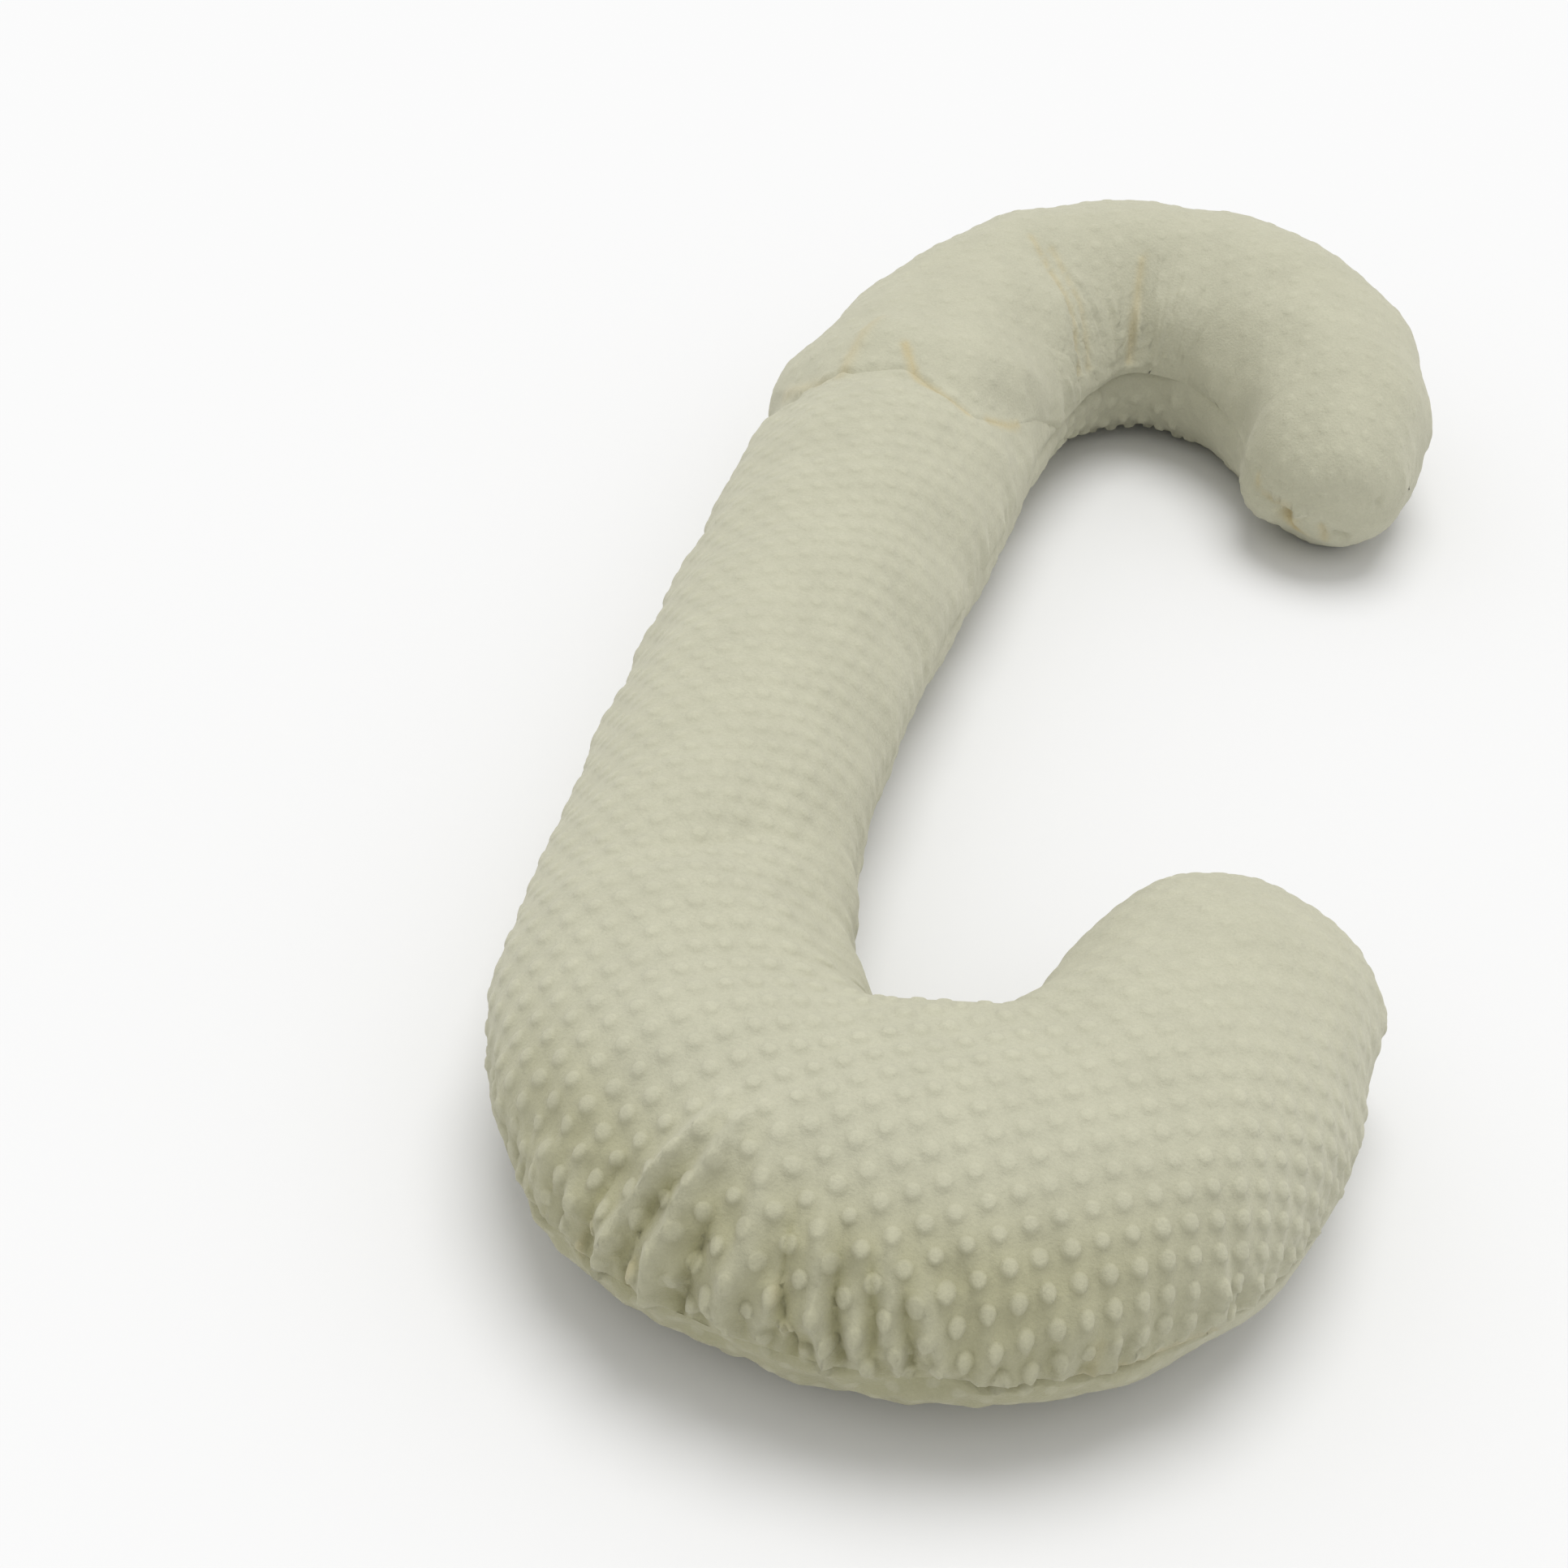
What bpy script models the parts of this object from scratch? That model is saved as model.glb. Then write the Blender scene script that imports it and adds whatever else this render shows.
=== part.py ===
"""C-shaped body pillow: one sewn and filled form of dotted plush, lying on its back.

The form follows one centre line in plan, from the free end of the lower hook, round its bend
and the heel, up the shaft, over the shoulder and round the head hook to the narrow tip.
At every station of that line stands a section with a crown, a sewn seam at its widest, and an
underside that rests flat. Gathers, creases and the seam across the shoulder are raised or sunk
in the faces along short lines on the form.

Metres and degrees. +Y runs up the shaft, +Z is up, and the origin is under the middle of the form.
"""

from collections import namedtuple
from math import cos, pi, radians, sin

import bmesh
import bpy
import numpy as np

# ---- driving dimensions -------------------------------------------------------------------

START_HEADING = 261.0  # way the centre line leaves the free end, anticlockwise from +X
BEND_BLEND = 0.10  # length over which one bend eases into the next
SPINE_STEP = 0.005

HOOK_END_ROUND = 0.082  # how far the rounded end of the lower hook reaches past its last section
HEAD_TIP_ROUND = 0.074
END_TAPER = 0.125  # length over which both ends come down to the seam
END_RINGS = 8

SEAM_LEVEL = 0.43  # height of the sewn seam, as a share of the crown's
SEAM_TUCK = 0.005  # how deep the seam draws the cloth in
SEAM_LIP = 5.0  # degrees from the seam to the lips on both sides of it
RESTING_PRESS = 0.010  # depth by which the underside is pressed flat
UNDERSIDE_ROUNDING = 0.80  # 1 is an ellipse, less is squarer
INNER_SOFTNESS = 10  # how sharply the inner side stops short of the middle of a tight bend

RING_SPACING = 0.024  # along the outer edge
GATHERED_SPACING = 0.0078
GATHERED_STRETCH = (0.19, 0.50)  # stations between which the cloth is gathered

CLOTH_COLOUR = (0.523, 0.514, 0.392, 1.0)

Section = namedtuple("Section", "name run turn half_width crown")
SECTIONS = (
    # run and turn lead from the row before to this one
    Section("hook end", 0.0, 0, 0.109, 0.185),
    Section("hook", 0.145, -3, 0.125, 0.195),
    Section("hook bend", 0.140, -59, 0.144, 0.190),
    Section("sole", 0.115, -27, 0.142, 0.190),
    Section("heel", 0.150, -62, 0.136, 0.190),
    Section("ankle", 0.110, -13, 0.122, 0.185),
    Section("lower shaft", 0.390, -9, 0.118, 0.180),
    Section("upper shaft", 0.350, -1, 0.128, 0.190),
    Section("shoulder", 0.220, -22, 0.118, 0.195),
    Section("head bend", 0.335, -122, 0.110, 0.195),
    Section("head tip", 0.155, -37, 0.078, 0.175),
)

# Angles round a section: 0 is the seam on the outer side, 90 the crown, 180 the seam on the
# inner side and 270 the middle of the underside.
TOP_ANGLES = (16, 28, 40, 52, 64, 77, 90, 103, 116, 128, 140, 152, 164)
UNDER_ANGLES = (197, 213, 230, 250, 270, 290, 310, 327, 343)

Fold = namedtuple("Fold", "name rise width line")
FOLDS = (
    # rise is out of the cloth, or into it where negative; line is (station, angle) pairs
    Fold("seam across the shoulder", -0.014, 0.020,
         ((1.335, 5), (1.323, 45), (1.327, 70), (1.337, 92), (1.317, 112), (1.319, 128),
          (1.359, 146), (1.421, 160), (1.485, 178))),
    Fold("head side of the shoulder seam", 0.006, 0.030,
         ((1.390, 20), (1.385, 60), (1.390, 95), (1.380, 120), (1.425, 142))),
    Fold("pucker at the shoulder seam", 0.007, 0.012, ((1.323, 68), (1.400, 75))),
    Fold("crease across the shaft", -0.006, 0.016,
         ((0.625, 84), (0.650, 98), (0.677, 112), (0.691, 128))),
    Fold("gather 1", 0.006, 0.008, ((0.473, 2), (0.475, 32))),
    Fold("gather 2", 0.010, 0.009, ((0.445, 2), (0.429, 55))),
    Fold("gather 3", 0.010, 0.009, ((0.425, 2), (0.417, 58))),
    Fold("gather 4", 0.009, 0.009, ((0.401, 2), (0.393, 31), (0.400, 62))),
    Fold("gather 5", 0.008, 0.010, ((0.367, 2), (0.371, 44))),
    Fold("gather 6", 0.010, 0.009, ((0.343, 2), (0.351, 46))),
    Fold("gather 7", 0.008, 0.010, ((0.323, 2), (0.331, 36))),
    Fold("gather 8", 0.006, 0.008, ((0.299, 2), (0.303, 24))),
    Fold("gather 9", 0.007, 0.008, ((0.273, 2), (0.271, 24))),
    Fold("gather 10", 0.006, 0.008, ((0.253, 2), (0.253, 20))),
    Fold("gather 11", 0.005, 0.008, ((0.220, 2), (0.223, 23))),
    Fold("wrinkle 1 in the head bend", -0.006, 0.010, ((1.624, 95), (1.565, 164))),
    Fold("wrinkle 2 in the head bend", -0.006, 0.010, ((1.690, 104), (1.640, 166))),
    Fold("wrinkle 3 in the head bend", -0.008, 0.011, ((1.744, 118), (1.705, 172))),
    Fold("wrinkle 4 in the head bend", -0.006, 0.010, ((1.795, 115), (1.760, 165))),
    Fold("tuck in the head tip", -0.020, 0.018, ((2.070, 226), (2.125, 258))),
)

# ---- the centre line ----------------------------------------------------------------------


def spine():
    """Stations, points and headings along the centre line."""
    ends = np.cumsum([row.run for row in SECTIONS])
    turned = np.cumsum([row.turn for row in SECTIONS])
    steps = int(round(ends[-1] / SPINE_STEP))
    stations = np.linspace(0.0, ends[-1], steps + 1)
    heading = np.radians(START_HEADING + np.interp(stations, ends, turned))
    reach = int(round(BEND_BLEND / SPINE_STEP / 2))
    lead = np.arange(1, reach + 1)
    before = heading[0] - (heading[1] - heading[0]) * lead[::-1]
    after = heading[-1] + (heading[-1] - heading[-2]) * lead
    even = np.ones(2 * reach + 1) / (2 * reach + 1)
    heading = np.convolve(np.concatenate([before, heading, after]), even, "valid")
    middle = (heading[1:] + heading[:-1]) / 2
    legs = np.stack([np.cos(middle), np.sin(middle)], axis=-1) * (ends[-1] / steps)
    points = np.concatenate([np.zeros((1, 2)), np.cumsum(legs, axis=0)])
    return stations, points, heading


def eased(stations, column):
    """A column of SECTIONS as one smooth curve through its rows."""
    ends = np.cumsum([row.run for row in SECTIONS])
    values = np.array([getattr(row, column) for row in SECTIONS])
    slopes = np.gradient(values, ends)
    i = np.clip(np.searchsorted(ends, stations, side="right") - 1, 0, len(ends) - 2)
    span = ends[i + 1] - ends[i]
    t = (stations - ends[i]) / span
    return (
        (2 * t**3 - 3 * t**2 + 1) * values[i]
        + (t**3 - 2 * t**2 + t) * span * slopes[i]
        + (3 * t**2 - 2 * t**3) * values[i + 1]
        + (t**3 - t**2) * span * slopes[i + 1]
    )


SPINE = spine()
LENGTH = SPINE[0][-1]

# ---- the sewn form ------------------------------------------------------------------------


def form(station, angle):
    """Points on the smooth form at the stations and angles, which may be arrays."""
    stations, points, headings = SPINE
    within = np.clip(station, 0.0, LENGTH)
    past = station - within
    share = np.where(past < 0, -past / HOOK_END_ROUND, past / HEAD_TIP_ROUND)
    shrink = np.sqrt(1.0 - np.clip(share, 0.0, 1.0) ** 2)
    heading = np.interp(within, stations, headings)
    x = np.interp(within, stations, points[:, 0]) + np.cos(heading) * past
    y = np.interp(within, stations, points[:, 1]) + np.sin(heading) * past
    half_width = eased(within, "half_width")
    bend = np.interp(within, stations, np.gradient(headings, stations))
    inner = half_width / (1 + np.abs(bend * half_width) ** INNER_SOFTNESS) ** (1 / INNER_SOFTNESS)
    half_width = np.where(np.cos(angle) < 0, inner, half_width) * shrink
    to_end = np.minimum(station + HOOK_END_ROUND, LENGTH + HEAD_TIP_ROUND - station)
    lift = np.sqrt(1.0 - np.clip(1.0 - to_end / END_TAPER, 0.0, 1.0) ** 2)
    crown = eased(within, "crown")
    seam = SEAM_LEVEL * crown
    across = np.cos(angle)
    up = np.sin(angle)
    under = up < 0
    across = np.where(under, np.sign(across) * np.abs(across) ** UNDERSIDE_ROUNDING, across)
    up = np.where(under, -np.abs(up) ** UNDERSIDE_ROUNDING, up)
    depth = np.where(under, seam + RESTING_PRESS, crown - seam)
    z = np.maximum(seam + depth * up * lift, 0.0)
    x = x - np.sin(heading) * half_width * across
    y = y + np.cos(heading) * half_width * across
    return np.stack([x, y, z], axis=-1)


def outward(station, angle):
    """Unit normals of the smooth form."""
    small = 1e-3
    along = form(station + small, angle) - form(station - small, angle)
    around = form(station, angle + small) - form(station, angle - small)
    normal = np.cross(around, along)
    return normal / np.maximum(np.linalg.norm(normal, axis=-1, keepdims=True), 1e-12)


def distance_to_line(points, line):
    """Distance from each point to a chain of points, fading past its two ends."""
    best = np.full(points.shape[:-1], 1e9)
    for a, b in zip(line[:-1], line[1:]):
        leg = b - a
        t = np.clip(((points - a) @ leg) / max(leg @ leg, 1e-12), 0.0, 1.0)
        best = np.minimum(best, np.linalg.norm(points - (a + t[..., None] * leg), axis=-1))
    return best


def fold_line(fold, count=24):
    """The fold's line as points on the smooth form."""
    rows = np.array(fold.line, dtype=float)
    legs = np.linspace(0.0, len(rows) - 1.0, count)
    row = np.arange(len(rows))
    return form(np.interp(legs, row, rows[:, 0]), np.radians(np.interp(legs, row, rows[:, 1])))


def folded(station, angle):
    """Points on the form with its seam drawn in and its folds raised."""
    points = form(station, angle)
    normals = outward(station, angle)
    rise = np.zeros(points.shape[:-1])
    for fold in FOLDS:
        away = distance_to_line(points, fold_line(fold)) / fold.width
        rise = rise + fold.rise * np.exp(-(away**2))
    at_seam = np.abs(np.sin(angle)) < 1e-6
    rise = np.where(at_seam, rise - SEAM_TUCK, rise)
    resting = points[..., 2] <= 1e-6
    rise = np.where(resting, 0.0, rise)
    moved = points + normals * rise[..., None]
    moved[..., 2] = np.where(resting, 0.0, np.maximum(moved[..., 2], 0.0))
    return moved


def ring_stations():
    """Stations of the sections, closer where the line bends and where the cloth is gathered."""
    stations, _, headings = SPINE
    bend = np.abs(np.gradient(headings, stations))
    rows = [0.0]
    while rows[-1] < LENGTH:
        here = rows[-1]
        gathered = GATHERED_STRETCH[0] < here < GATHERED_STRETCH[1]
        spacing = GATHERED_SPACING if gathered else RING_SPACING
        outer = 1.0 + np.interp(here, stations, bend) * eased(np.array(here), "half_width")
        rows.append(here + spacing / float(outer))
    rows = np.array(rows) * (LENGTH / rows[-1])
    end = np.sin(np.linspace(0.0, pi / 2, END_RINGS + 2))[1:-1]
    end = np.append(end, 0.995)
    return np.concatenate([-HOOK_END_ROUND * end[::-1], rows, LENGTH + HEAD_TIP_ROUND * end])


def section_angles():
    """Angles round a section, with a lip on each side of both seams."""
    angles = [0, SEAM_LIP, *TOP_ANGLES, 180 - SEAM_LIP, 180, 180 + SEAM_LIP]
    angles += [*UNDER_ANGLES, 360 - SEAM_LIP, 360]
    return np.radians(np.array(angles, dtype=float))


# ---- the object ---------------------------------------------------------------------------


def cloth_material():
    material = bpy.data.materials.new("dotted_plush")
    material.use_nodes = True
    shader = material.node_tree.nodes["Principled BSDF"]
    shader.inputs["Base Color"].default_value = CLOTH_COLOUR
    shader.inputs["Roughness"].default_value = 0.95
    shader.inputs["Metallic"].default_value = 0.0
    shader.inputs["Sheen Weight"].default_value = 0.3
    material.diffuse_color = CLOTH_COLOUR
    return material


def filled_pillow():
    """A flat grid rolled round the centre line, welded along the seam and closed at both ends."""
    stations = ring_stations()
    angles = section_angles()
    rows, columns = len(stations), len(angles)
    places = folded(
        np.repeat(stations[:, None], columns, axis=1),
        np.repeat(angles[None, :], rows, axis=0),
    )
    low = places.min(axis=(0, 1))
    high = places.max(axis=(0, 1))
    places = places - np.array([(low[0] + high[0]) / 2, (low[1] + high[1]) / 2, 0.0])
    bm = bmesh.new()
    bmesh.ops.create_grid(bm, x_segments=rows - 1, y_segments=columns - 1, size=1.0)
    for vert in bm.verts:
        row = round((vert.co.x + 1.0) / 2.0 * (rows - 1))
        column = round((vert.co.y + 1.0) / 2.0 * (columns - 1))
        vert.co = places[row, column]
    bmesh.ops.remove_doubles(bm, verts=bm.verts, dist=0.0001)
    bmesh.ops.holes_fill(bm, edges=[e for e in bm.edges if e.is_boundary], sides=0)
    bmesh.ops.recalc_face_normals(bm, faces=bm.faces)
    mesh = bpy.data.meshes.new("filled_pillow")
    bm.to_mesh(mesh)
    bm.free()
    mesh.shade_smooth()
    mesh.set_sharp_from_angle(angle=radians(60))
    mesh.materials.append(cloth_material())
    pillow = bpy.data.objects.new("filled_pillow", mesh)
    bpy.context.scene.collection.objects.link(pillow)
    return pillow


def main():
    for thing in list(bpy.data.objects):
        bpy.data.objects.remove(thing)
    filled_pillow()


main()
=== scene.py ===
"""C-shaped body pillow of dotted plush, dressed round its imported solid.

The pillow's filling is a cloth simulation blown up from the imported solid. Three plush panels
are laid on it as flat patterns: the body's top, the head's top and the under panel. Every
panel is a grid of cells, one for each raised dot, and each cell is a ring pattern round its dot.
The sewn seams draw the panels in, and folds, gathers and puckers are raised along short lines.

Metres, with degrees in the tables. +Y runs up the shaft, +Z is up, and the pillow rests on z = 0.
"""

from collections import namedtuple
from functools import lru_cache
from math import cos, pi, radians, sin

import bmesh
import bpy
import numpy as np
from bpy.props import FloatProperty, FloatVectorProperty, IntProperty, PointerProperty
from bpy.types import Operator, Panel, PropertyGroup
from mathutils import Matrix, Vector
from mathutils.bvhtree import BVHTree


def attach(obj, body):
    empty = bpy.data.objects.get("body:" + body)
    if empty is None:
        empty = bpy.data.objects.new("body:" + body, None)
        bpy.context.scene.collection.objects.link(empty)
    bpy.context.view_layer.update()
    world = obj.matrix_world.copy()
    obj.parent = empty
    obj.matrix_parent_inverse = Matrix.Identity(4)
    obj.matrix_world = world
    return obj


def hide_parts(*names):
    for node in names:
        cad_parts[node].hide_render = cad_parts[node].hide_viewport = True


bl_info = {
    "name": "Dotted plush body pillow",
    "version": (1, 0, 0),
    "blender": (4, 5, 0),
    "location": "View3D > Sidebar > Pillow",
    "description": "Fills and dresses a C-shaped body pillow in dotted plush",
    "category": "Object",
}

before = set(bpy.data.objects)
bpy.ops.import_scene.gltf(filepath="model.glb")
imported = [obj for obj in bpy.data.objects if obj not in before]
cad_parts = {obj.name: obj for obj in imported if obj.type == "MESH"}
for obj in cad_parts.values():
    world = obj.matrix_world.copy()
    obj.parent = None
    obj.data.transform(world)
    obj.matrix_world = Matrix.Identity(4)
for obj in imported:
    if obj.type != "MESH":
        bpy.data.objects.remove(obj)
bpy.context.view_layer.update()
SOLID = "filled_pillow"
BODY = "root"

# ---- the pillow's own form ----------------------------------------------------------------

START_HEADING = 261.0  # way the centre line leaves the lower hook's end, from +X
BEND_BLEND = 0.10
SPINE_STEP = 0.005
HOOK_END_ROUND = 0.082
HEAD_TIP_ROUND = 0.074
END_TAPER = 0.125
SEAM_LEVEL = 0.43
RESTING_PRESS = 0.010
UNDERSIDE_ROUNDING = 0.80
INNER_SOFTNESS = 10
FORM_MIDDLE = np.array([-0.1988, 0.3467, 0.0])  # of the plan, from the start of the centre line

Section = namedtuple("Section", "name run turn half_width crown")
SECTIONS = (
    Section("hook end", 0.0, 0, 0.109, 0.185),
    Section("hook", 0.145, -3, 0.125, 0.195),
    Section("hook bend", 0.140, -59, 0.144, 0.190),
    Section("sole", 0.115, -27, 0.142, 0.190),
    Section("heel", 0.150, -62, 0.136, 0.190),
    Section("ankle", 0.110, -13, 0.122, 0.185),
    Section("lower shaft", 0.390, -9, 0.118, 0.180),
    Section("upper shaft", 0.350, -1, 0.128, 0.190),
    Section("shoulder", 0.220, -22, 0.118, 0.195),
    Section("head bend", 0.335, -122, 0.110, 0.195),
    Section("head tip", 0.155, -37, 0.078, 0.175),
)

# Where the shoulder seam crosses the top, as (station, angle) pairs. Angles round a section: 0 is
# the seam on the outer side, 90 the crown, 180 the seam on the inner side, 270 the underside.
SHOULDER_SEAM = (
    (1.335, 0), (1.323, 45), (1.327, 70), (1.337, 92), (1.317, 112), (1.319, 128),
    (1.359, 146), (1.421, 160), (1.485, 180),
)

# Raised folds of the cloth: height, width and the line they follow, as (station, angle) pairs.
Fold = namedtuple("Fold", "rise width line")
GATHERS = (
    Fold(0.0032, 0.0048, ((0.476, 0), (0.477, 30))),
    Fold(0.0032, 0.0048, ((0.461, 0), (0.468, 42))),
    Fold(0.0078, 0.0050, ((0.447, -4), (0.440, 25), (0.429, 58), (0.427, 68))),
    Fold(0.0080, 0.0050, ((0.427, -4), (0.424, 28), (0.416, 60), (0.412, 72))),
    Fold(0.0064, 0.0075, ((0.402, 6), (0.394, 31), (0.401, 68))),
    Fold(0.0045, 0.0055, ((0.386, 2), (0.381, 24), (0.387, 40))),
    Fold(0.0078, 0.0050, ((0.361, -4), (0.367, 18), (0.371, 48))),
    Fold(0.0051, 0.0055, ((0.348, 0), (0.356, 36))),
    Fold(0.0054, 0.0062, ((0.335, 2), (0.345, 50))),
    Fold(0.0042, 0.0055, ((0.320, 2), (0.330, 40))),
    Fold(0.0032, 0.0050, ((0.275, -2), (0.272, 24))),
    Fold(0.0029, 0.0046, ((0.262, -2), (0.260, 18))),
    Fold(0.0026, 0.0046, ((0.221, -2), (0.224, 23))),
)
# Sharp creases, where the rise is less than 0, and the small folds of the tip and the shoulder.
CREASES = (
    Fold(-0.0055, 0.0032, ((0.454, -2), (0.452, 34))),
    Fold(-0.0078, 0.0036, ((0.437, -3), (0.432, 28), (0.424, 50))),
    Fold(-0.0072, 0.0036, ((0.415, -2), (0.411, 40))),
    Fold(-0.0078, 0.0036, ((0.372, -2), (0.381, 22), (0.383, 48))),
    Fold(-0.0064, 0.0032, ((0.354, -2), (0.361, 20), (0.362, 42))),
    Fold(-0.0056, 0.0036, ((0.341, -2), (0.350, 40))),
    Fold(-0.0050, 0.0036, ((0.328, -2), (0.337, 36))),
    Fold(-0.0028, 0.0035, ((0.268, -2), (0.266, 22))),
    Fold(-0.0022, 0.0060, ((0.625, 84), (0.650, 98), (0.677, 112), (0.691, 128))),
    Fold(-0.0030, 0.0040, ((1.557, 165), (1.600, 122), (1.624, 93))),
    Fold(-0.0024, 0.0038, ((1.581, 166), (1.612, 130), (1.631, 104))),
    Fold(-0.0034, 0.0045, ((1.705, 174), (1.730, 146), (1.746, 120))),
    Fold(-0.0026, 0.0040, ((1.725, 174), (1.752, 146), (1.785, 116))),
    Fold(-0.0016, 0.0030, ((1.538, 150), (1.507, 136))),
    Fold(-0.0016, 0.0030, ((1.569, 167), (1.552, 158))),
    Fold(-0.0050, 0.0055, ((2.158, 176), (2.181, 205), (2.170, 268))),
    Fold(0.0085, 0.0055, ((2.176, 186), (2.184, 215), (2.166, 286))),
    Fold(-0.0130, 0.0100, ((2.178, 222), (2.164, 260))),
    Fold(-0.0045, 0.0035, ((2.181, 288), (2.168, 282))),
    Fold(-0.0080, 0.0060, ((2.173, 300), (2.165, 314))),
    Fold(-0.0030, 0.0028, ((2.164, 10), (2.155, -9))),
    Fold(0.0035, 0.0070, ((1.323, 68), (1.402, 75))),
    Fold(0.0030, 0.0060, ((1.316, 52), (1.362, 24))),
)

# Painted shade: a darker, warmer colour laid along creases, hollows and seams, where shade falls:
# strength (as rise), width and line.
PAINTED_CREASE_SHADES = (
    Fold(0.90, 0.0090, ((2.176, 232), (2.164, 262))),
    Fold(0.50, 0.0035, ((2.158, 176), (2.181, 205), (2.170, 268))),
    Fold(0.45, 0.0040, ((2.179, 286), (2.168, 282))),
    Fold(0.70, 0.0040, ((1.363, 89), (1.328, 98), (1.316, 112), (1.312, 124))),
    Fold(0.65, 0.0045, ((1.332, 134), (1.360, 146), (1.376, 150))),
    Fold(0.35, 0.0060, ((1.402, 74), (1.320, 67))),
    Fold(0.25, 0.0080, ((1.320, 60), (1.345, 30))),
    Fold(0.40, 0.0035, ((1.557, 165), (1.600, 122), (1.624, 93))),
    Fold(0.30, 0.0035, ((1.581, 166), (1.612, 130), (1.631, 104))),
    Fold(0.40, 0.0035, ((1.705, 174), (1.730, 146), (1.746, 120))),
    Fold(0.60, 0.0045, ((0.436, -4), (0.432, 10))),
    Fold(0.50, 0.0045, ((0.456, -4), (0.452, 12))),
    Fold(0.45, 0.0040, ((0.372, 2), (0.381, 22))),
    Fold(0.45, 0.0035, ((0.268, -3), (0.266, 10))),
    Fold(0.50, 0.0025, ((0.215, -3), (0.240, -3), (0.270, -3))),
)

# ---- the centre line ----------------------------------------------------------------------


def spine():
    """Stations, points and headings along the centre line."""
    ends = np.cumsum([row.run for row in SECTIONS])
    turned = np.cumsum([row.turn for row in SECTIONS])
    steps = int(round(ends[-1] / SPINE_STEP))
    stations = np.linspace(0.0, ends[-1], steps + 1)
    heading = np.radians(START_HEADING + np.interp(stations, ends, turned))
    reach = int(round(BEND_BLEND / SPINE_STEP / 2))
    lead = np.arange(1, reach + 1)
    before = heading[0] - (heading[1] - heading[0]) * lead[::-1]
    after = heading[-1] + (heading[-1] - heading[-2]) * lead
    even = np.ones(2 * reach + 1) / (2 * reach + 1)
    heading = np.convolve(np.concatenate([before, heading, after]), even, "valid")
    return stations, walked(stations, heading), heading


def walked(stations, heading):
    """Points of a line that is walked along the headings from the origin."""
    middle = (heading[1:] + heading[:-1]) / 2
    legs = np.stack([np.cos(middle), np.sin(middle)], axis=-1) * np.diff(stations)[:, None]
    return np.concatenate([np.zeros((1, 2)), np.cumsum(legs, axis=0)])


def eased(stations, column):
    """A column of SECTIONS as one smooth curve through its rows."""
    ends = np.cumsum([row.run for row in SECTIONS])
    values = np.array([getattr(row, column) for row in SECTIONS])
    slopes = np.gradient(values, ends)
    i = np.clip(np.searchsorted(ends, stations, side="right") - 1, 0, len(ends) - 2)
    span = ends[i + 1] - ends[i]
    t = (stations - ends[i]) / span
    return (
        (2 * t**3 - 3 * t**2 + 1) * values[i]
        + (t**3 - 2 * t**2 + t) * span * slopes[i]
        + (3 * t**2 - 2 * t**3) * values[i + 1]
        + (t**3 - t**2) * span * slopes[i + 1]
    )


SPINE = spine()
LENGTH = SPINE[0][-1]


def unplaced_form(station, angle):
    """Points on the smooth form, measured from the start of the centre line."""
    stations, points, headings = SPINE
    within = np.clip(station, 0.0, LENGTH)
    past = station - within
    share = np.where(past < 0, -past / HOOK_END_ROUND, past / HEAD_TIP_ROUND)
    shrink = np.sqrt(1.0 - np.clip(share, 0.0, 1.0) ** 2)
    heading = np.interp(within, stations, headings)
    x = np.interp(within, stations, points[:, 0]) + np.cos(heading) * past
    y = np.interp(within, stations, points[:, 1]) + np.sin(heading) * past
    half_width = eased(within, "half_width")
    bend = np.interp(within, stations, np.gradient(headings, stations))
    inner = half_width / (1 + np.abs(bend * half_width) ** INNER_SOFTNESS) ** (1 / INNER_SOFTNESS)
    half_width = np.where(np.cos(angle) < 0, inner, half_width) * shrink
    to_end = np.minimum(station + HOOK_END_ROUND, LENGTH + HEAD_TIP_ROUND - station)
    lift = np.sqrt(1.0 - np.clip(1.0 - to_end / END_TAPER, 0.0, 1.0) ** 2)
    crown = eased(within, "crown")
    seam = SEAM_LEVEL * crown
    across = np.cos(angle)
    up = np.sin(angle)
    under = up < 0
    across = np.where(under, np.sign(across) * np.abs(across) ** UNDERSIDE_ROUNDING, across)
    up = np.where(under, -np.abs(up) ** UNDERSIDE_ROUNDING, up)
    depth = np.where(under, seam + RESTING_PRESS, crown - seam)
    z = np.maximum(seam + depth * up * lift, 0.0)
    x = x - np.sin(heading) * half_width * across
    y = y + np.cos(heading) * half_width * across
    return np.stack([x, y, z], axis=-1)


def form(station, angle):
    """Points on the smooth form, in the frame."""
    return unplaced_form(station, angle) - FORM_MIDDLE


def outward(station, angle):
    """Unit normals of the smooth form."""
    small = 1e-3
    along = unplaced_form(station + small, angle) - unplaced_form(station - small, angle)
    around = unplaced_form(station, angle + small) - unplaced_form(station, angle - small)
    normal = np.cross(around, along)
    return normal / np.maximum(np.linalg.norm(normal, axis=-1, keepdims=True), 1e-12)


def near_line(points, line):
    """Distance from each point to a chain of points, and the share of the chain it lies beside."""
    best = np.full(len(points), 1e9)
    share = np.zeros(len(points))
    legs = len(line) - 1
    for k in range(legs):
        leg = line[k + 1] - line[k]
        t = np.clip(((points - line[k]) @ leg) / max(leg @ leg, 1e-12), 0.0, 1.0)
        away = np.linalg.norm(points - (line[k] + t[:, None] * leg), axis=1)
        nearer = away < best
        share = np.where(nearer, (k + t) / legs, share)
        best = np.minimum(best, away)
    return best, share


def line_on_form(pairs, count=14):
    """(station, angle) pairs as an even chain of points on the smooth form."""
    rows = np.array(pairs, dtype=float)
    legs = np.linspace(0.0, len(rows) - 1.0, count)
    row = np.arange(len(rows))
    return form(np.interp(legs, row, rows[:, 0]), np.radians(np.interp(legs, row, rows[:, 1])))


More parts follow.
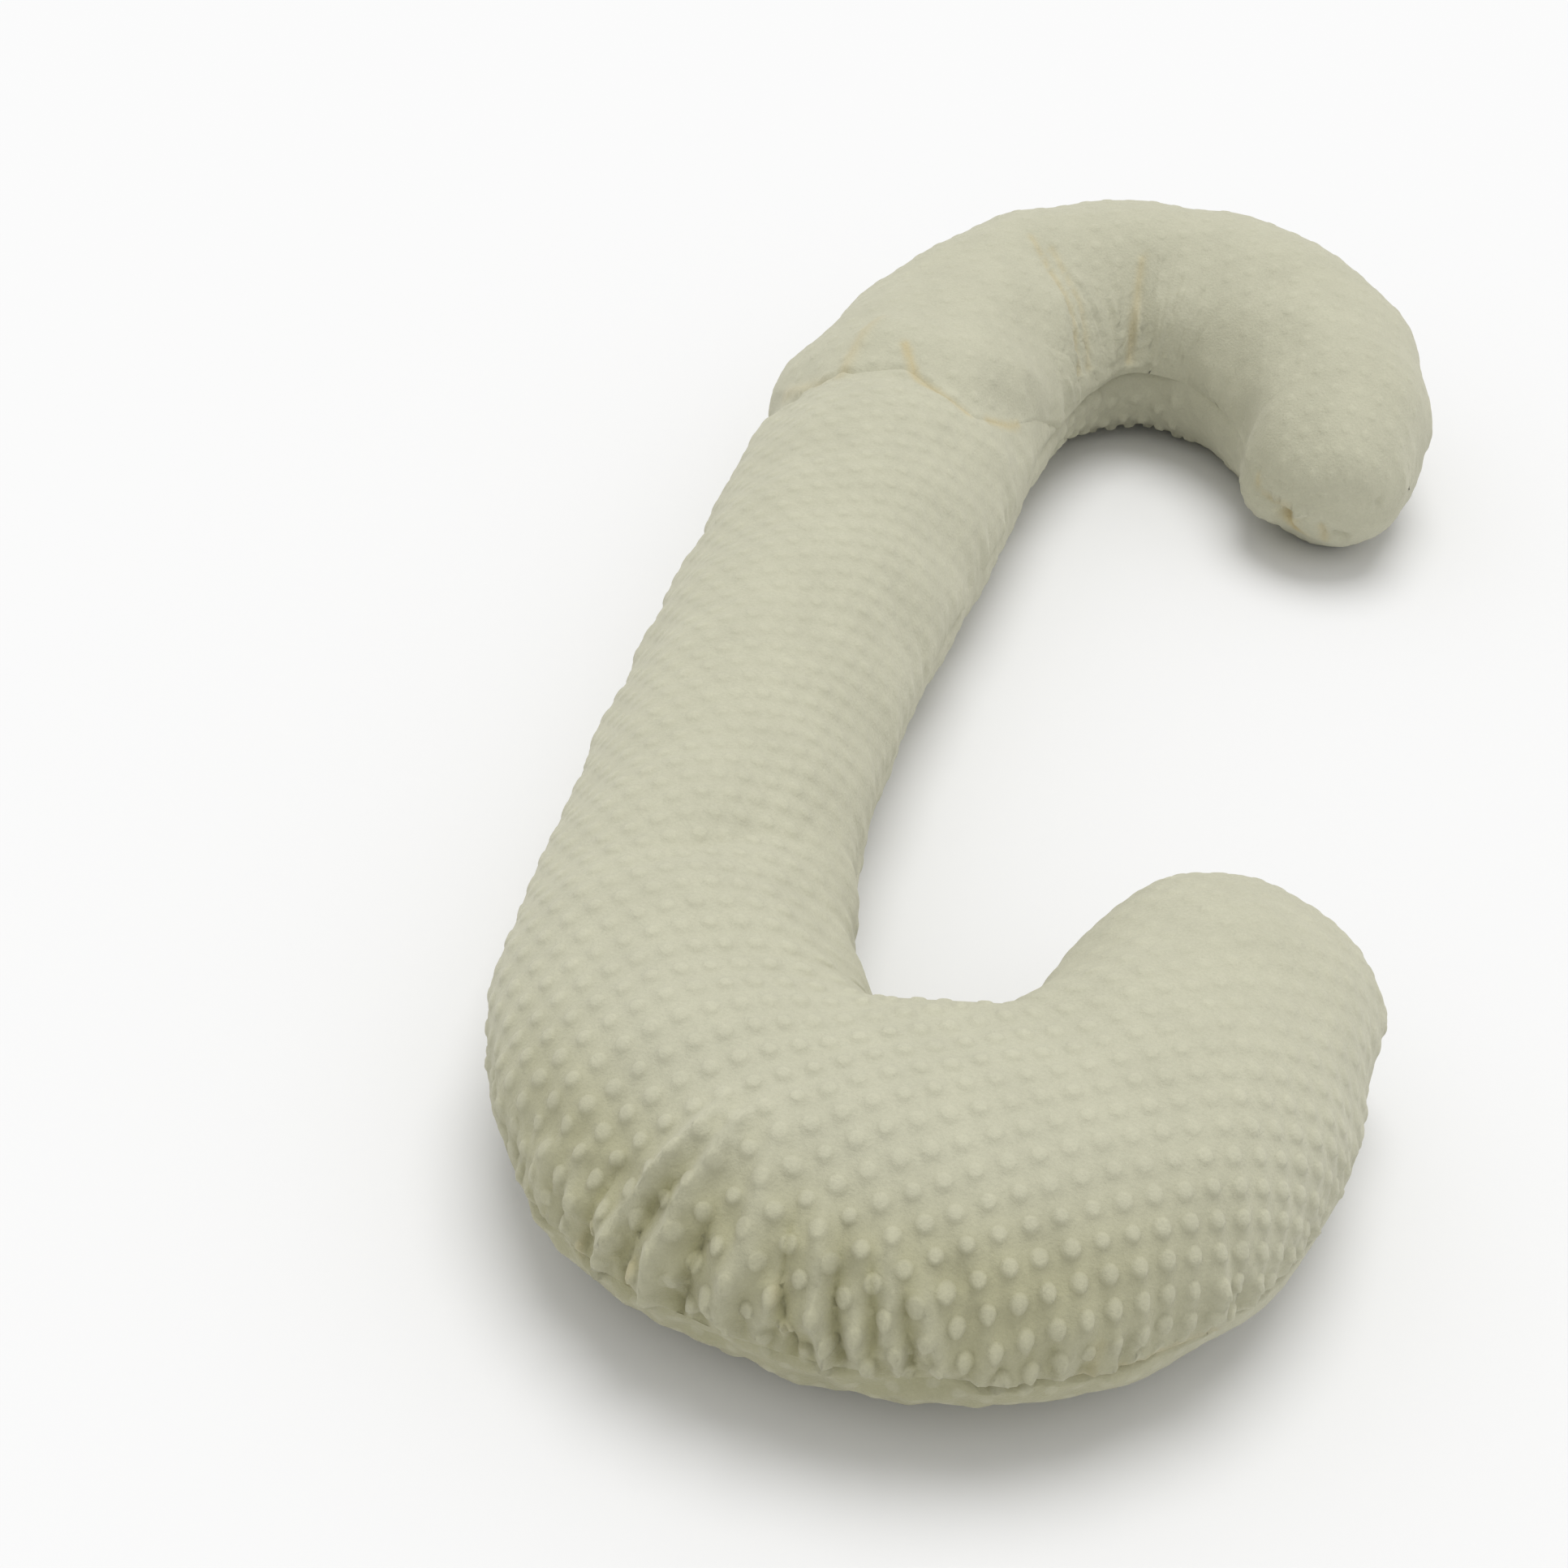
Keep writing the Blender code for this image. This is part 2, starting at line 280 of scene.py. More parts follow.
def smooth_step(low, high, value):
    """0 below low, 1 above high, and an S-curve between them."""
    t = np.clip((value - low) / (high - low), 0.0, 1.0)
    return t * t * (3.0 - 2.0 * t)


def on_stretch(value, start, full, fading, end):
    """1 from full to fading, 0 before start and past end, and S-curves between them."""
    return smooth_step(start, full, value) * (1.0 - smooth_step(fading, end, value))


def by_outer_seam(angle, full, end):
    """1 at the outer seam, fading with the sine of the angle, and 0 on the inner half."""
    return (np.cos(angle) > 0) * (1.0 - smooth_step(full, end, np.abs(np.sin(angle))))


# ---- the filling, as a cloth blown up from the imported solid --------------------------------

STATION_GRID = np.linspace(-HOOK_END_ROUND * 0.999, LENGTH + HEAD_TIP_ROUND * 0.999, 400)
COLUMNS = 120  # of the swell's grid, once round a section
ANGLE_GRID = np.radians(np.linspace(0.0, 360.0, COLUMNS + 1))
SEAM_HOLD = 0.010  # distance from a seam within which the blown-up cloth is held
SEAM_COLUMNS = 4  # columns of the grid on each side of a seam that are bridged
PROBE_REACH = 0.035  # how far off the smooth form the blown-up cloth is looked for


def merged_copy(node):
    """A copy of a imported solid's mesh, its loose triangles merged."""
    bm = bmesh.new()
    bm.from_mesh(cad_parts[node].data)
    bmesh.ops.remove_doubles(bm, verts=bm.verts, dist=0.00001)
    mesh = bpy.data.meshes.new("filling")
    bm.to_mesh(mesh)
    bm.free()
    return mesh


def settled(thing):
    """The thing's mesh with its modifiers applied."""
    held = thing.evaluated_get(bpy.context.evaluated_depsgraph_get())
    return bpy.data.meshes.new_from_object(held)


def vertex_places(mesh):
    places = np.empty(len(mesh.vertices) * 3)
    mesh.vertices.foreach_get("co", places)
    return places.reshape(-1, 3)


def seam_pins(pad):
    """A vertex group that holds the cloth along its seams."""
    stations = np.linspace(-HOOK_END_ROUND, LENGTH + HEAD_TIP_ROUND, 900)
    rims = [form(stations, np.full_like(stations, angle)) for angle in (0.0, pi)]
    rows = np.array(SHOULDER_SEAM, dtype=float)
    angles = np.linspace(0.0, 180.0, 120)
    rims.append(form(np.interp(angles, rows[:, 1], rows[:, 0]), np.radians(angles)))
    tree = BVHTree.FromPolygons(
        [Vector(p) for rim in rims for p in rim],
        [(k, k + 1, k) for k in range(sum(len(rim) for rim in rims) - 1)],
    )
    group = pad.vertex_groups.new(name="seams")
    for vert in pad.data.vertices:
        near = tree.find_nearest(vert.co, SEAM_HOLD)
        if near[0] is not None:
            group.add([vert.index], 1.0 - near[3] / SEAM_HOLD, "REPLACE")
    return group


def filled_cloth():
    """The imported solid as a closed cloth, slackened a little and then blown up by its filling."""
    filling = bpy.context.scene.pillow_filling
    pad = bpy.data.objects.new("filling", merged_copy(SOLID))
    bpy.context.scene.collection.objects.link(pad)
    remesh = pad.modifiers.new("voxels", "REMESH")
    remesh.mode = "VOXEL"
    remesh.voxel_size = filling.cell
    slack = pad.modifiers.new("slack", "DISPLACE")
    slack.strength = -filling.slack
    slack.mid_level = 0.0
    start = settled(pad)
    pad.modifiers.clear()
    pad.data = start
    cloth = pad.modifiers.new("cloth", "CLOTH")
    cloth.settings.quality = 4
    cloth.settings.mass = 0.3
    cloth.settings.use_pressure = True
    cloth.settings.uniform_pressure_force = filling.pressure
    cloth.settings.effector_weights.gravity = 0.0
    cloth.settings.vertex_group_mass = seam_pins(pad).name
    cloth.point_cache.frame_start = 1
    cloth.point_cache.frame_end = filling.frames
    for step in range(1, filling.frames + 1):
        bpy.context.scene.frame_set(step)
    blown = settled(pad)
    was = vertex_places(start)
    move = vertex_places(blown) - was
    far = np.linalg.norm(move, axis=1, keepdims=True)
    move = move * np.minimum(1.0, filling.most_swell / np.maximum(far, 1e-9))
    start.vertices.foreach_set("co", (was + move).ravel())
    bpy.context.scene.frame_set(1)
    bpy.data.meshes.remove(blown)
    places = [Vector(p) for p in vertex_places(start)]
    tree = BVHTree.FromPolygons(places, [tuple(face.vertices) for face in start.polygons])
    bpy.data.objects.remove(pad)
    bpy.data.meshes.remove(start)
    return tree


@lru_cache(maxsize=1)
def swell_grid():
    """How far the blown-up cloth stands off the smooth form, over stations and angles."""
    tree = filled_cloth()
    stations = np.repeat(STATION_GRID[:, None], len(ANGLE_GRID), axis=1)
    angles = np.repeat(ANGLE_GRID[None, :], len(STATION_GRID), axis=0)
    points = form(stations, angles)
    normals = outward(stations, angles)
    heights = np.zeros(stations.shape)
    for row, column in np.ndindex(stations.shape):
        normal = Vector(normals[row, column])
        begin = Vector(points[row, column]) + normal * PROBE_REACH
        hit = tree.ray_cast(begin, -normal, 2 * PROBE_REACH)
        if hit[0] is not None:
            heights[row, column] = PROBE_REACH - hit[3]
    for seam in (0, COLUMNS // 2, COLUMNS):  # the seams' own grooves are cut later, and sharper
        near = np.arange(seam - SEAM_COLUMNS, seam + SEAM_COLUMNS + 1)
        first, last = heights[:, near[0] % COLUMNS], heights[:, near[-1] % COLUMNS]
        share = (near - near[0]) / (near[-1] - near[0])
        bridge = first[:, None] * (1.0 - share) + last[:, None] * share
        for column, values in zip(near, bridge.T):
            if 0 <= column <= COLUMNS:
                heights[:, column] = values
    padded = np.pad(heights, ((1, 1), (1, 1)), mode="edge")
    padded[:, 0], padded[:, -1] = padded[:, -3], padded[:, 2]
    around = padded[:-2, 1:-1] + padded[2:, 1:-1] + padded[1:-1, :-2] + padded[1:-1, 2:]
    return heights / 2 + around / 8


def read_between(table, row, column):
    """A table read between its rows and columns."""
    row = np.clip(row, 0.0, table.shape[0] - 1.001)
    column = np.clip(column, 0.0, table.shape[1] - 1.001)
    i, j = row.astype(int), column.astype(int)
    u, v = row - i, column - j
    low = table[i, j] * (1 - v) + table[i, j + 1] * v
    high = table[i + 1, j] * (1 - v) + table[i + 1, j + 1] * v
    return low * (1 - u) + high * u


def swell(station, angle):
    """How far the blown-up cloth stands off the smooth form at each place."""
    row = (station - STATION_GRID[0]) / (STATION_GRID[1] - STATION_GRID[0])
    column = np.mod(angle, 2 * pi) / (ANGLE_GRID[1] - ANGLE_GRID[0])
    return read_between(swell_grid(), row, column)


# ---- flat patterns and how they are laid on the form ---------------------------------------

Face = namedtuple("Face", "middle turn")
TOP = Face(90.0, -1.0)
UNDER = Face(270.0, 1.0)
INNER_SHARE = 0.87  # most of the way to the facing side that an inner side's pattern takes
SEAM_DROP = 4.0  # degrees that the outer seam lies below the widest line of the form
SIDE_STEPS = 40
END_TURNS = 61  # directions in which a rounded end's cloth is measured, from seam to seam
BATCH = 20000  # points laid at a time, to spare memory


def face_angle(face, side):
    """Angles on a face: side is 1 at the outer seam, 0 in the middle, -1 at the inner seam."""
    return np.radians(face.middle + face.turn * 90.0 * side)


def lowered(angle):
    """Angles moved so that the outer seam, at angle 0, comes to lie a little lower."""
    from_seam = np.minimum(np.abs(angle), np.abs(2 * pi - angle))
    return angle - radians(SEAM_DROP) * (1.0 - smooth_step(0.0, radians(35.0), from_seam))


def run_lengths(points, axis):
    """Lengths along chains of points, from 0 at their start."""
    legs = np.linalg.norm(np.diff(points, axis=axis), axis=-1)
    total = np.cumsum(legs, axis=axis)
    return np.concatenate([np.zeros_like(np.take(total, [0], axis=axis)), total], axis=axis)


class Pattern:
    """A face's cloth laid flat about its own centre line, in metres."""

    def __init__(self, face, bend_share=1.0, hinge=0.0):
        stations, points, headings = SPINE
        fixed = np.interp(hinge, stations, headings)
        self.face = face
        self.stations = stations
        self.headings = fixed + bend_share * (headings - fixed)
        self.points = walked(stations, self.headings)
        own = [np.interp(hinge, stations, self.points[:, axis]) for axis in (0, 1)]
        real = [np.interp(hinge, stations, points[:, axis]) for axis in (0, 1)]
        self.points = self.points + np.array(real) - np.array(own)
        self.bends = np.gradient(self.headings, stations)
        self.sides, self.edges = self.side_tables()
        self.end_tables = [self.end_table(end) for end in (0, -1)]

    def side_tables(self):
        """Side against share of the cloth's reach, and the reaches to both seams."""
        sides = np.linspace(-1.0, 1.0, 4 * SIDE_STEPS + 1)
        stations = np.repeat(self.stations[:, None], len(sides), axis=1)
        angles = np.repeat(face_angle(self.face, sides)[None, :], len(self.stations), axis=0)
        reach = run_lengths(form(stations, angles), axis=1)
        reach = reach - reach[:, [2 * SIDE_STEPS]]
        inner, outer = -reach[:, 0], reach[:, -1]
        room = INNER_SHARE * self.inner_room()
        edge = 1.0 / (inner**-8.0 + room**-8.0) ** 0.125
        shares = np.linspace(-1.0, 1.0, 2 * SIDE_STEPS + 1)
        table = np.empty((len(self.stations), len(shares)))
        for k in range(len(self.stations)):
            tight = edge[k] / inner[k]
            eased_in = (tight * np.abs(shares) + (1.0 - tight) * np.abs(shares) ** 3) * inner[k]
            wanted = np.where(shares < 0, -eased_in, shares * outer[k])
            table[k] = np.interp(wanted, reach[k], sides)
        return table, (edge, outer)

    def inner_room(self):
        """How far each station's inner side can go before another station lies nearer."""
        ways = np.stack([np.sin(self.headings), -np.cos(self.headings)], axis=-1)
        room = np.full(len(self.stations), 1.0)
        for k, (point, way) in enumerate(zip(self.points, ways)):
            apart = self.points - point
            facing = apart @ way
            far = (np.abs(np.arange(len(facing)) - k) > 5) & (facing > 1e-5)
            if far.any():
                room[k] = min(1.0, np.min((apart[far] ** 2).sum(axis=1) / (2 * facing[far])))
        wide = np.pad(room, 8, mode="edge")
        least = np.min([wide[shift : shift + len(room) + 8] for shift in range(9)], axis=0)
        return np.convolve(least, np.ones(9) / 9, "valid")

    def end_table(self, end):
        """For one rounded end, share of the way out against share of the cloth's reach."""
        tip = LENGTH if end else 0.0
        length = HEAD_TIP_ROUND if end else -HOOK_END_ROUND
        turns = np.radians(np.linspace(-90.0, 90.0, END_TURNS))
        ways = np.linspace(0.0, 1.0, SIDE_STEPS + 1)
        way, turn = np.meshgrid(ways, turns)
        station = tip + length * way * np.cos(turn)
        wide = np.sqrt(np.maximum(1.0 - (way * np.cos(turn)) ** 2, 1e-9))
        across = np.clip(way * np.sin(turn) / wide, -1.0, 1.0)
        angle = self.angle_at(across)
        reach = run_lengths(form(station, angle), axis=1)
        table = np.empty_like(way)
        for k in range(len(turns)):
            table[k] = np.interp(ways * reach[k, -1], reach[k], ways)
        return table, reach[:, -1]

    def angle_at(self, across):
        """The angle on this face where the form is at that share of its half width."""
        if self.face is TOP:
            return np.arccos(across)
        along = np.sign(across) * np.abs(across) ** (1.0 / UNDERSIDE_ROUNDING)
        return 2 * pi - np.arccos(along)

    def lay(self, flat, snapped):
        """Stations, angles and distances inside the seam of points of the flat pattern.

        Points marked as snapped go to the nearest place on the seam.
        """
        station = np.empty(len(flat))
        for first in range(0, len(flat), BATCH):
            some = flat[first : first + BATCH]
            apart = (some[:, None, 0] - self.points[None, :, 0]) ** 2
            apart += (some[:, None, 1] - self.points[None, :, 1]) ** 2
            station[first : first + BATCH] = self.stations[apart.argmin(axis=1)]
        nearest = station.copy()
        for _ in range(3):
            along, across = self.offsets(flat, station)
            bend = np.interp(station, self.stations, self.bends)
            stretch = np.maximum(1.0 - bend * across, 0.1)
            moved = station + along / stretch - nearest
            station = np.clip(nearest + np.clip(moved, -SPINE_STEP, SPINE_STEP), 0.0, LENGTH)
        along, across = self.offsets(flat, station)
        inner = np.interp(station, self.stations, self.edges[0])
        outer = np.interp(station, self.stations, self.edges[1])
        edge = np.where(across < 0, inner, outer)
        share = np.clip(across / edge, -1.0, 1.0)
        share = np.where(snapped, np.where(across < 0, -1.0, 1.0), share)
        row = station / SPINE_STEP
        side = read_between(self.sides, row, (share + 1.0) * SIDE_STEPS)
        angle = face_angle(self.face, side)
        inside = edge - np.abs(across)
        for end, way in ((0, -along), (-1, along)):
            at_end = station <= 0.0 if end == 0 else station >= LENGTH
            beyond = at_end & (way > 0)
            if beyond.any():
                laid = self.lay_end(end, way[beyond], across[beyond], snapped[beyond])
                station[beyond], angle[beyond], inside[beyond] = laid
        return station, lowered(angle), inside

    def offsets(self, flat, station):
        """How far points lie along and across the centre line from its stations."""
        x = flat[:, 0] - np.interp(station, self.stations, self.points[:, 0])
        y = flat[:, 1] - np.interp(station, self.stations, self.points[:, 1])
        heading = np.interp(station, self.stations, self.headings)
        return (
            x * np.cos(heading) + y * np.sin(heading),
            y * np.cos(heading) - x * np.sin(heading),
        )

    def lay_end(self, end, along, across, snapped):
        """The same as lay, for points past one end of the centre line."""
        length = HEAD_TIP_ROUND if end else HOOK_END_ROUND
        half_width = SECTIONS[end].half_width
        turn = np.arctan2(across / half_width, along / length)
        out = np.hypot(along, across)
        table, reach = self.end_tables[end]
        row = (np.degrees(turn) + 90.0) / (180.0 / (END_TURNS - 1))
        edge = np.interp(row, np.arange(len(reach)), reach)
        way = read_between(table, row, np.clip(out / edge, 0.0, 1.0) * SIDE_STEPS)
        way = np.where(snapped, 1.0, way)
        tip = LENGTH if end else 0.0
        station = tip + (length if end else -length) * way * np.cos(turn) * 0.9995
        wide = np.sqrt(np.maximum(1.0 - (way * np.cos(turn)) ** 2, 1e-9))
        across = np.clip(way * np.sin(turn) / wide, -1.0, 1.0)
        return station, self.angle_at(across), edge - out


# ---- dots in rows --------------------------------------------------------------------------


def gradients(first_angle, first_pitch, second_angle, second_pitch):
    """Two gradients of a lattice from the angles and lengths of its two steps."""
    a, b = radians(first_angle), radians(second_angle)
    steps = np.array([
        [cos(a) * first_pitch, cos(b) * second_pitch],
        [sin(a) * first_pitch, sin(b) * second_pitch],
    ])
    return np.linalg.inv(steps)


class DotRows:
    """Rows of dots over a flat pattern, whose lattice may turn into another one higher up."""

    def __init__(self, low, high=None, span=(0.0, 1.0), hinge=0.0):
        self.low = low
        self.change = (high if high is not None else low) - low
        self.span = span
        self.hinge = hinge

    def share(self, y):
        return smooth_step(self.span[0], self.span[1], y)

    def count(self, flat):
        """How many rows of dots lie before each point, for both directions of rows."""
        low, high = self.span
        t = np.clip((flat[:, 1] - low) / (high - low), 0.0, 1.0)
        risen = (t**3 - t**4 / 2) * (high - low) + np.maximum(flat[:, 1] - high, 0.0)
        skew = (flat[:, 0] - self.hinge) * self.share(flat[:, 1])
        return (
            flat @ self.low.T
            + skew[:, None] * self.change[:, 0]
            + risen[:, None] * self.change[:, 1]
        )

    def place(self, counts):
        """The points that lie at those counts of rows."""
        flat = counts @ np.linalg.inv(self.low).T
        for _ in range(12):
            slope = self.low[None] + self.share(flat[:, 1])[:, None, None] * self.change[None]
            miss = counts - self.count(flat)
            flat = flat + np.linalg.solve(slope, miss[:, :, None])[:, :, 0]
        return flat


DOT_SHIFT = 0.0004  # how far a dot may lie off its place
# Ring patterns by the sides of a cell: shares of the dot's radius, and of its height.
RING_RADII = {
    6: (0.0, 0.70, 1.06),
    8: (0.0, 0.52, 0.86, 1.10),
    12: (0.0, 0.34, 0.62, 0.86, 1.10, 1.60),
}
RING_HEIGHTS = {
    6: (1.0, 0.78, 0.04),
    8: (1.0, 0.95, 0.62, 0.02),
    12: (1.0, 0.98, 0.86, 0.56, 0.08, 0.0),
}


def cell_pattern(rows, sides, u, v, radius):
    """Flat places and heights of a grid whose cells are ring patterns round their dots.

    u and v count the grid's lines, with so many sides to a cell; radius is one value a vertex.
    """
    flat = rows.place(np.stack([u / sides, v / sides], axis=-1) - 0.5)
    cell = np.stack([u // sides, v // sides], axis=-1).astype(float)
    middle = rows.place(cell)
    middle += DOT_SHIFT * np.stack([cell_random(cell, 3), cell_random(cell, 4)], axis=-1)
    step_u = rows.place(cell + [0.02, 0.0]) - rows.place(cell)
    step_v = rows.place(cell + [0.0, 0.02]) - rows.place(cell)
    step_u /= np.linalg.norm(step_u, axis=1, keepdims=True)
    step_v /= np.linalg.norm(step_v, axis=1, keepdims=True)
    off_u, off_v = u % sides - sides // 2, v % sides - sides // 2
    ring = np.maximum(np.maximum(np.abs(off_u), np.abs(off_v)), 1)
    within = (u % sides > 0) & (v % sides > 0)
    even_u = ring * np.tan(pi / 4 * off_u / ring)
    even_v = ring * np.tan(pi / 4 * off_v / ring)
    way = even_u[:, None] * step_u + even_v[:, None] * step_v
    way /= np.maximum(np.linalg.norm(way, axis=1, keepdims=True), 1e-9)
    level = np.maximum(np.abs(off_u), np.abs(off_v)).astype(int) % (sides // 2)
    out = np.array(RING_RADII[sides])[level] * radius
    flat = np.where(within[:, None], middle + way * out[:, None], flat)
    height = np.where(within, np.array(RING_HEIGHTS[sides])[level], 0.0)
    return flat, height


def tails(cut, flat, cells, station):
    """Soft pleats that run from each dot towards the outer seam, from 0 to 1."""
    heading = np.interp(station, cut.pattern.stations, cut.pattern.headings)
    down = np.stack([-np.sin(heading), np.cos(heading)], axis=-1)
    pleat = np.zeros(len(flat))
    for du in (-1, 0, 1):
        for dv in (-1, 0, 1):
            cell = cells + [du, dv]
            away = flat - cut.rows.place(cell)
            along = (away * down).sum(axis=1)
            side = (away[:, 0] * down[:, 1] - away[:, 1] * down[:, 0]) / TAIL_WIDTH
            far = TAIL_LENGTH * (1.0 + 0.35 * cell_random(cell, 5))
            ramp = smooth_step(0.0, 0.004, along) * (1.0 - smooth_step(0.3, 1.0, along / far))
            pleat = np.maximum(pleat, np.exp(-(side**2)) * ramp)
    return pleat


# ---- seams, folds and unevenness -----------------------------------------------------------

SEAM_DEPTH = 0.0030
SEAM_WIDTH = 0.0028
SEAM_LIP = 0.0008
SHOULDER_DEPTH = 0.0013
SHOULDER_WIDTH = 0.004
SHOULDER_LIP = 0.0008
SHOULDER_FILL = 0.0015  # how far the filling lifts the shoulder seam again
SHOULDER_SPREAD = 0.018
SHOULDER_LAP = 0.0015  # how far the two tops lap over
CORNER_ANGLE = radians(120.0)  # from here to the inner seam the shoulder seam runs steeply
HEAD_SET_BACK = 0.009  # how far the head's inner wall stands back at its seam
SET_BACK_REACH = 0.05
SETTLING = np.linspace(-0.04, 0.04, 7)  # stretch over which the pillow's own weight evens it
ALLOWANCE = 0.010  # cloth turned in past a seam
DOT_MARGIN = (0.002, 0.008)  # dots are flattened this near a seam
TAIL_LENGTH = 0.021  # of the pleat that runs down from a dot
TAIL_WIDTH = 0.0038
WAVE_HEIGHT = 0.00055  # of each of the waves that add up to the cloth's unevenness
FINE_PUCKERS = 0.006  # spacing of the small gathers at the perimeter seam, and their reach
BROAD_PUCKERS = (0.015, 0.016)  # spacing and reach of the broader ones
UNDER_DOTS = (0.0004, 0.0009, 0.0031)  # heights: outer wall, inner wall, and more in the bend

# How things stand out along the pillow: station, height of the dots at the crown and by the
# outer seam, height of the pleats below the dots, and how deep the outer seam is drawn in.
Relief = namedtuple("Relief", "station crown rim tail seam")
RELIEFS = (
    Relief(-0.08, 0.0007, 0.0006, 0.0000, 0.4),
    Relief(0.10, 0.0010, 0.0012, 0.0004, 0.6),
    Relief(0.21, 0.0017, 0.0034, 0.0024, 1.0),
    Relief(0.33, 0.0022, 0.0044, 0.0028, 1.0),
    Relief(0.38, 0.0023, 0.0042, 0.0022, 0.3),
    Relief(0.47, 0.0022, 0.0026, 0.0010, 0.2),
    Relief(0.58, 0.0018, 0.0014, 0.0000, 0.2),
    Relief(0.80, 0.0014, 0.0011, 0.0000, 0.3),
    Relief(1.30, 0.0012, 0.0008, 0.0000, 0.3),
    Relief(1.42, 0.0008, 0.0005, 0.0000, 0.1),
    Relief(2.20, 0.0008, 0.0005, 0.0000, 0.1),
)


def relief(station, angle, column):
    """One column of RELIEFS at each station; height passes from the crown's to the rim's."""
    rows = [row.station for row in RELIEFS]
    value = np.interp(station, rows, [getattr(row, column) for row in RELIEFS])
    rim = by_outer_seam(angle, 0.35, 0.95)
    if column == "seam":
        return np.where(np.cos(angle) > 0, value, 0.5 * value)
    if column == "tail":
        return value * rim
    crown = np.interp(station, rows, [row.crown for row in RELIEFS])
    wall = smooth_step(0.45, 0.95, -np.cos(angle))
    return (crown + (value - crown) * rim) * (1.0 - 0.6 * wall)


def drawn_in(room, depth, width, lip):
    """How a seam draws the cloth in at its line and leaves a soft lip beside it."""
    beside = np.maximum(room, 0.0) / width
    return lip * beside * np.exp(1.0 - beside) - depth * np.exp(-beside)


def knotted_noise(seed, spacing, length):
    """Random values at knots along a line, as a function that eases between them."""
    knots = np.random.default_rng(seed).normal(0.0, 1.0, int(length / spacing) + 3)

    def at(where):
        row = np.clip(where / spacing, 0.0, len(knots) - 1.001)
        i = row.astype(int)
        t = smooth_step(0.0, 1.0, row - i)
        return knots[i] * (1 - t) + knots[i + 1] * t

    return at


@lru_cache(maxsize=1)
def rim_lengths():
    """Stations, and lengths along both perimeter seams up to them."""
    end = np.sin(np.linspace(0.0, pi / 2, 12))[1:] * 0.9999
    ends = (-HOOK_END_ROUND * end[::-1], LENGTH + HEAD_TIP_ROUND * end)
    stations = np.concatenate([ends[0], SPINE[0], ends[1]])
    rims = [run_lengths(form(stations, np.full_like(stations, a)), axis=0) for a in (0.0, pi)]
    return stations, rims


def puckers(station, angle, room, seed):
    """Small gathers that run into the perimeter seam."""
    stations, rims = rim_lengths()
    outer = np.cos(angle) > 0
    along = np.where(
        outer, np.interp(station, stations, rims[0]), np.interp(station, stations, rims[1])
    )
    fine = knotted_noise(seed, FINE_PUCKERS, 4.0)(along + 0.9 * ~outer)
    broad = knotted_noise(seed + 1, BROAD_PUCKERS[0], 4.0)(along + 0.9 * ~outer)
    hook = on_stretch(station, 0.05, 0.20, 0.48, 0.62)
    strength = 0.0007 + 0.0009 * hook * outer
    near = room / FINE_PUCKERS
    far = room / BROAD_PUCKERS[1]
    return strength * (fine * near * np.exp(1.0 - near) + 1.3 * broad * far * np.exp(1.0 - far))


def waves(points, seed, count, shortest, longest):
    """A sum of low waves of random directions, with lengths between two bounds."""
    rng = np.random.default_rng(seed)
    rise = np.zeros(len(points))
    for _ in range(count):
        way = rng.normal(0.0, 1.0, 3)
        way *= 2 * pi / (rng.uniform(shortest, longest) * np.linalg.norm(way))
        rise += WAVE_HEIGHT * np.sin(points @ way + rng.uniform(0.0, 2 * pi))
    return rise


def unevenness(points):
    """Broad, low swells of loose filling."""
    return waves(points, 7, 14, 0.055, 0.16)


@lru_cache(maxsize=1)
def small_pleats():
    """Short pleats where the top's cloth is eased into the outer seam round the hook."""
    rng = np.random.default_rng(5)
    pleats = []
    station = 0.10
    while station < 0.66:
        busy = 1.0 - abs(station - 0.36) / 0.32
        angle = rng.uniform(8.0, 20.0) + 22.0 * busy * rng.random()
        lean = rng.normal(0.0, 0.004)
        rise = (0.0008 + 0.0022 * busy) * rng.uniform(0.5, 1.3)
        pleats.append(Fold(rise, 0.0042, ((station, -2), (station + lean, angle))))
        crease = station + rng.uniform(0.0030, 0.0045)
        pleats.append(Fold(-0.8 * rise, 0.0028, ((crease, -2), (crease + lean, 0.8 * angle))))
        station += rng.uniform(0.0065, 0.0115)
    return tuple(pleats)


@lru_cache(maxsize=1)
def head_wrinkles():
    """Fine wrinkles that fan out from the inner side of the head's bend."""
    rng = np.random.default_rng(9)
    wrinkles = []
    for station in np.arange(1.53, 1.90, 0.0078):
        middle = 1.0 - abs(station - 1.69) / 0.30
        low = rng.uniform(166, 178)
        high = low - rng.uniform(25, 40) - 40 * middle * rng.random()
        lean = (1.70 - station) * 0.10 + rng.normal(0.0, 0.006)
        rise = (0.0009 + 0.0012 * middle) * rng.uniform(0.6, 1.4) * rng.choice((-1.0, 1.0))
        line = ((station, low), (station - lean, high))
        wrinkles.append(Fold(rise, rng.uniform(0.0018, 0.0028), line))
    return tuple(wrinkles)


def lumps(points, station, angle):
    """Loose lumps of cloth between the gathers of the hook."""
    rise = waves(points, 21, 16, 0.020, 0.048)
    return rise * on_stretch(station, 0.22, 0.34, 0.46, 0.54) * by_outer_seam(angle, 0.5, 0.95)


def set_back(station, angle, inside):
    """How far the head's inner wall stands back under the edge of its top panel."""
    bend = on_stretch(station, 1.50, 1.58, 1.78, 1.88)
    near = np.exp(-np.maximum(inside, 0.0) / SET_BACK_REACH)
    return HEAD_SET_BACK * bend * (np.cos(angle) < 0) * near


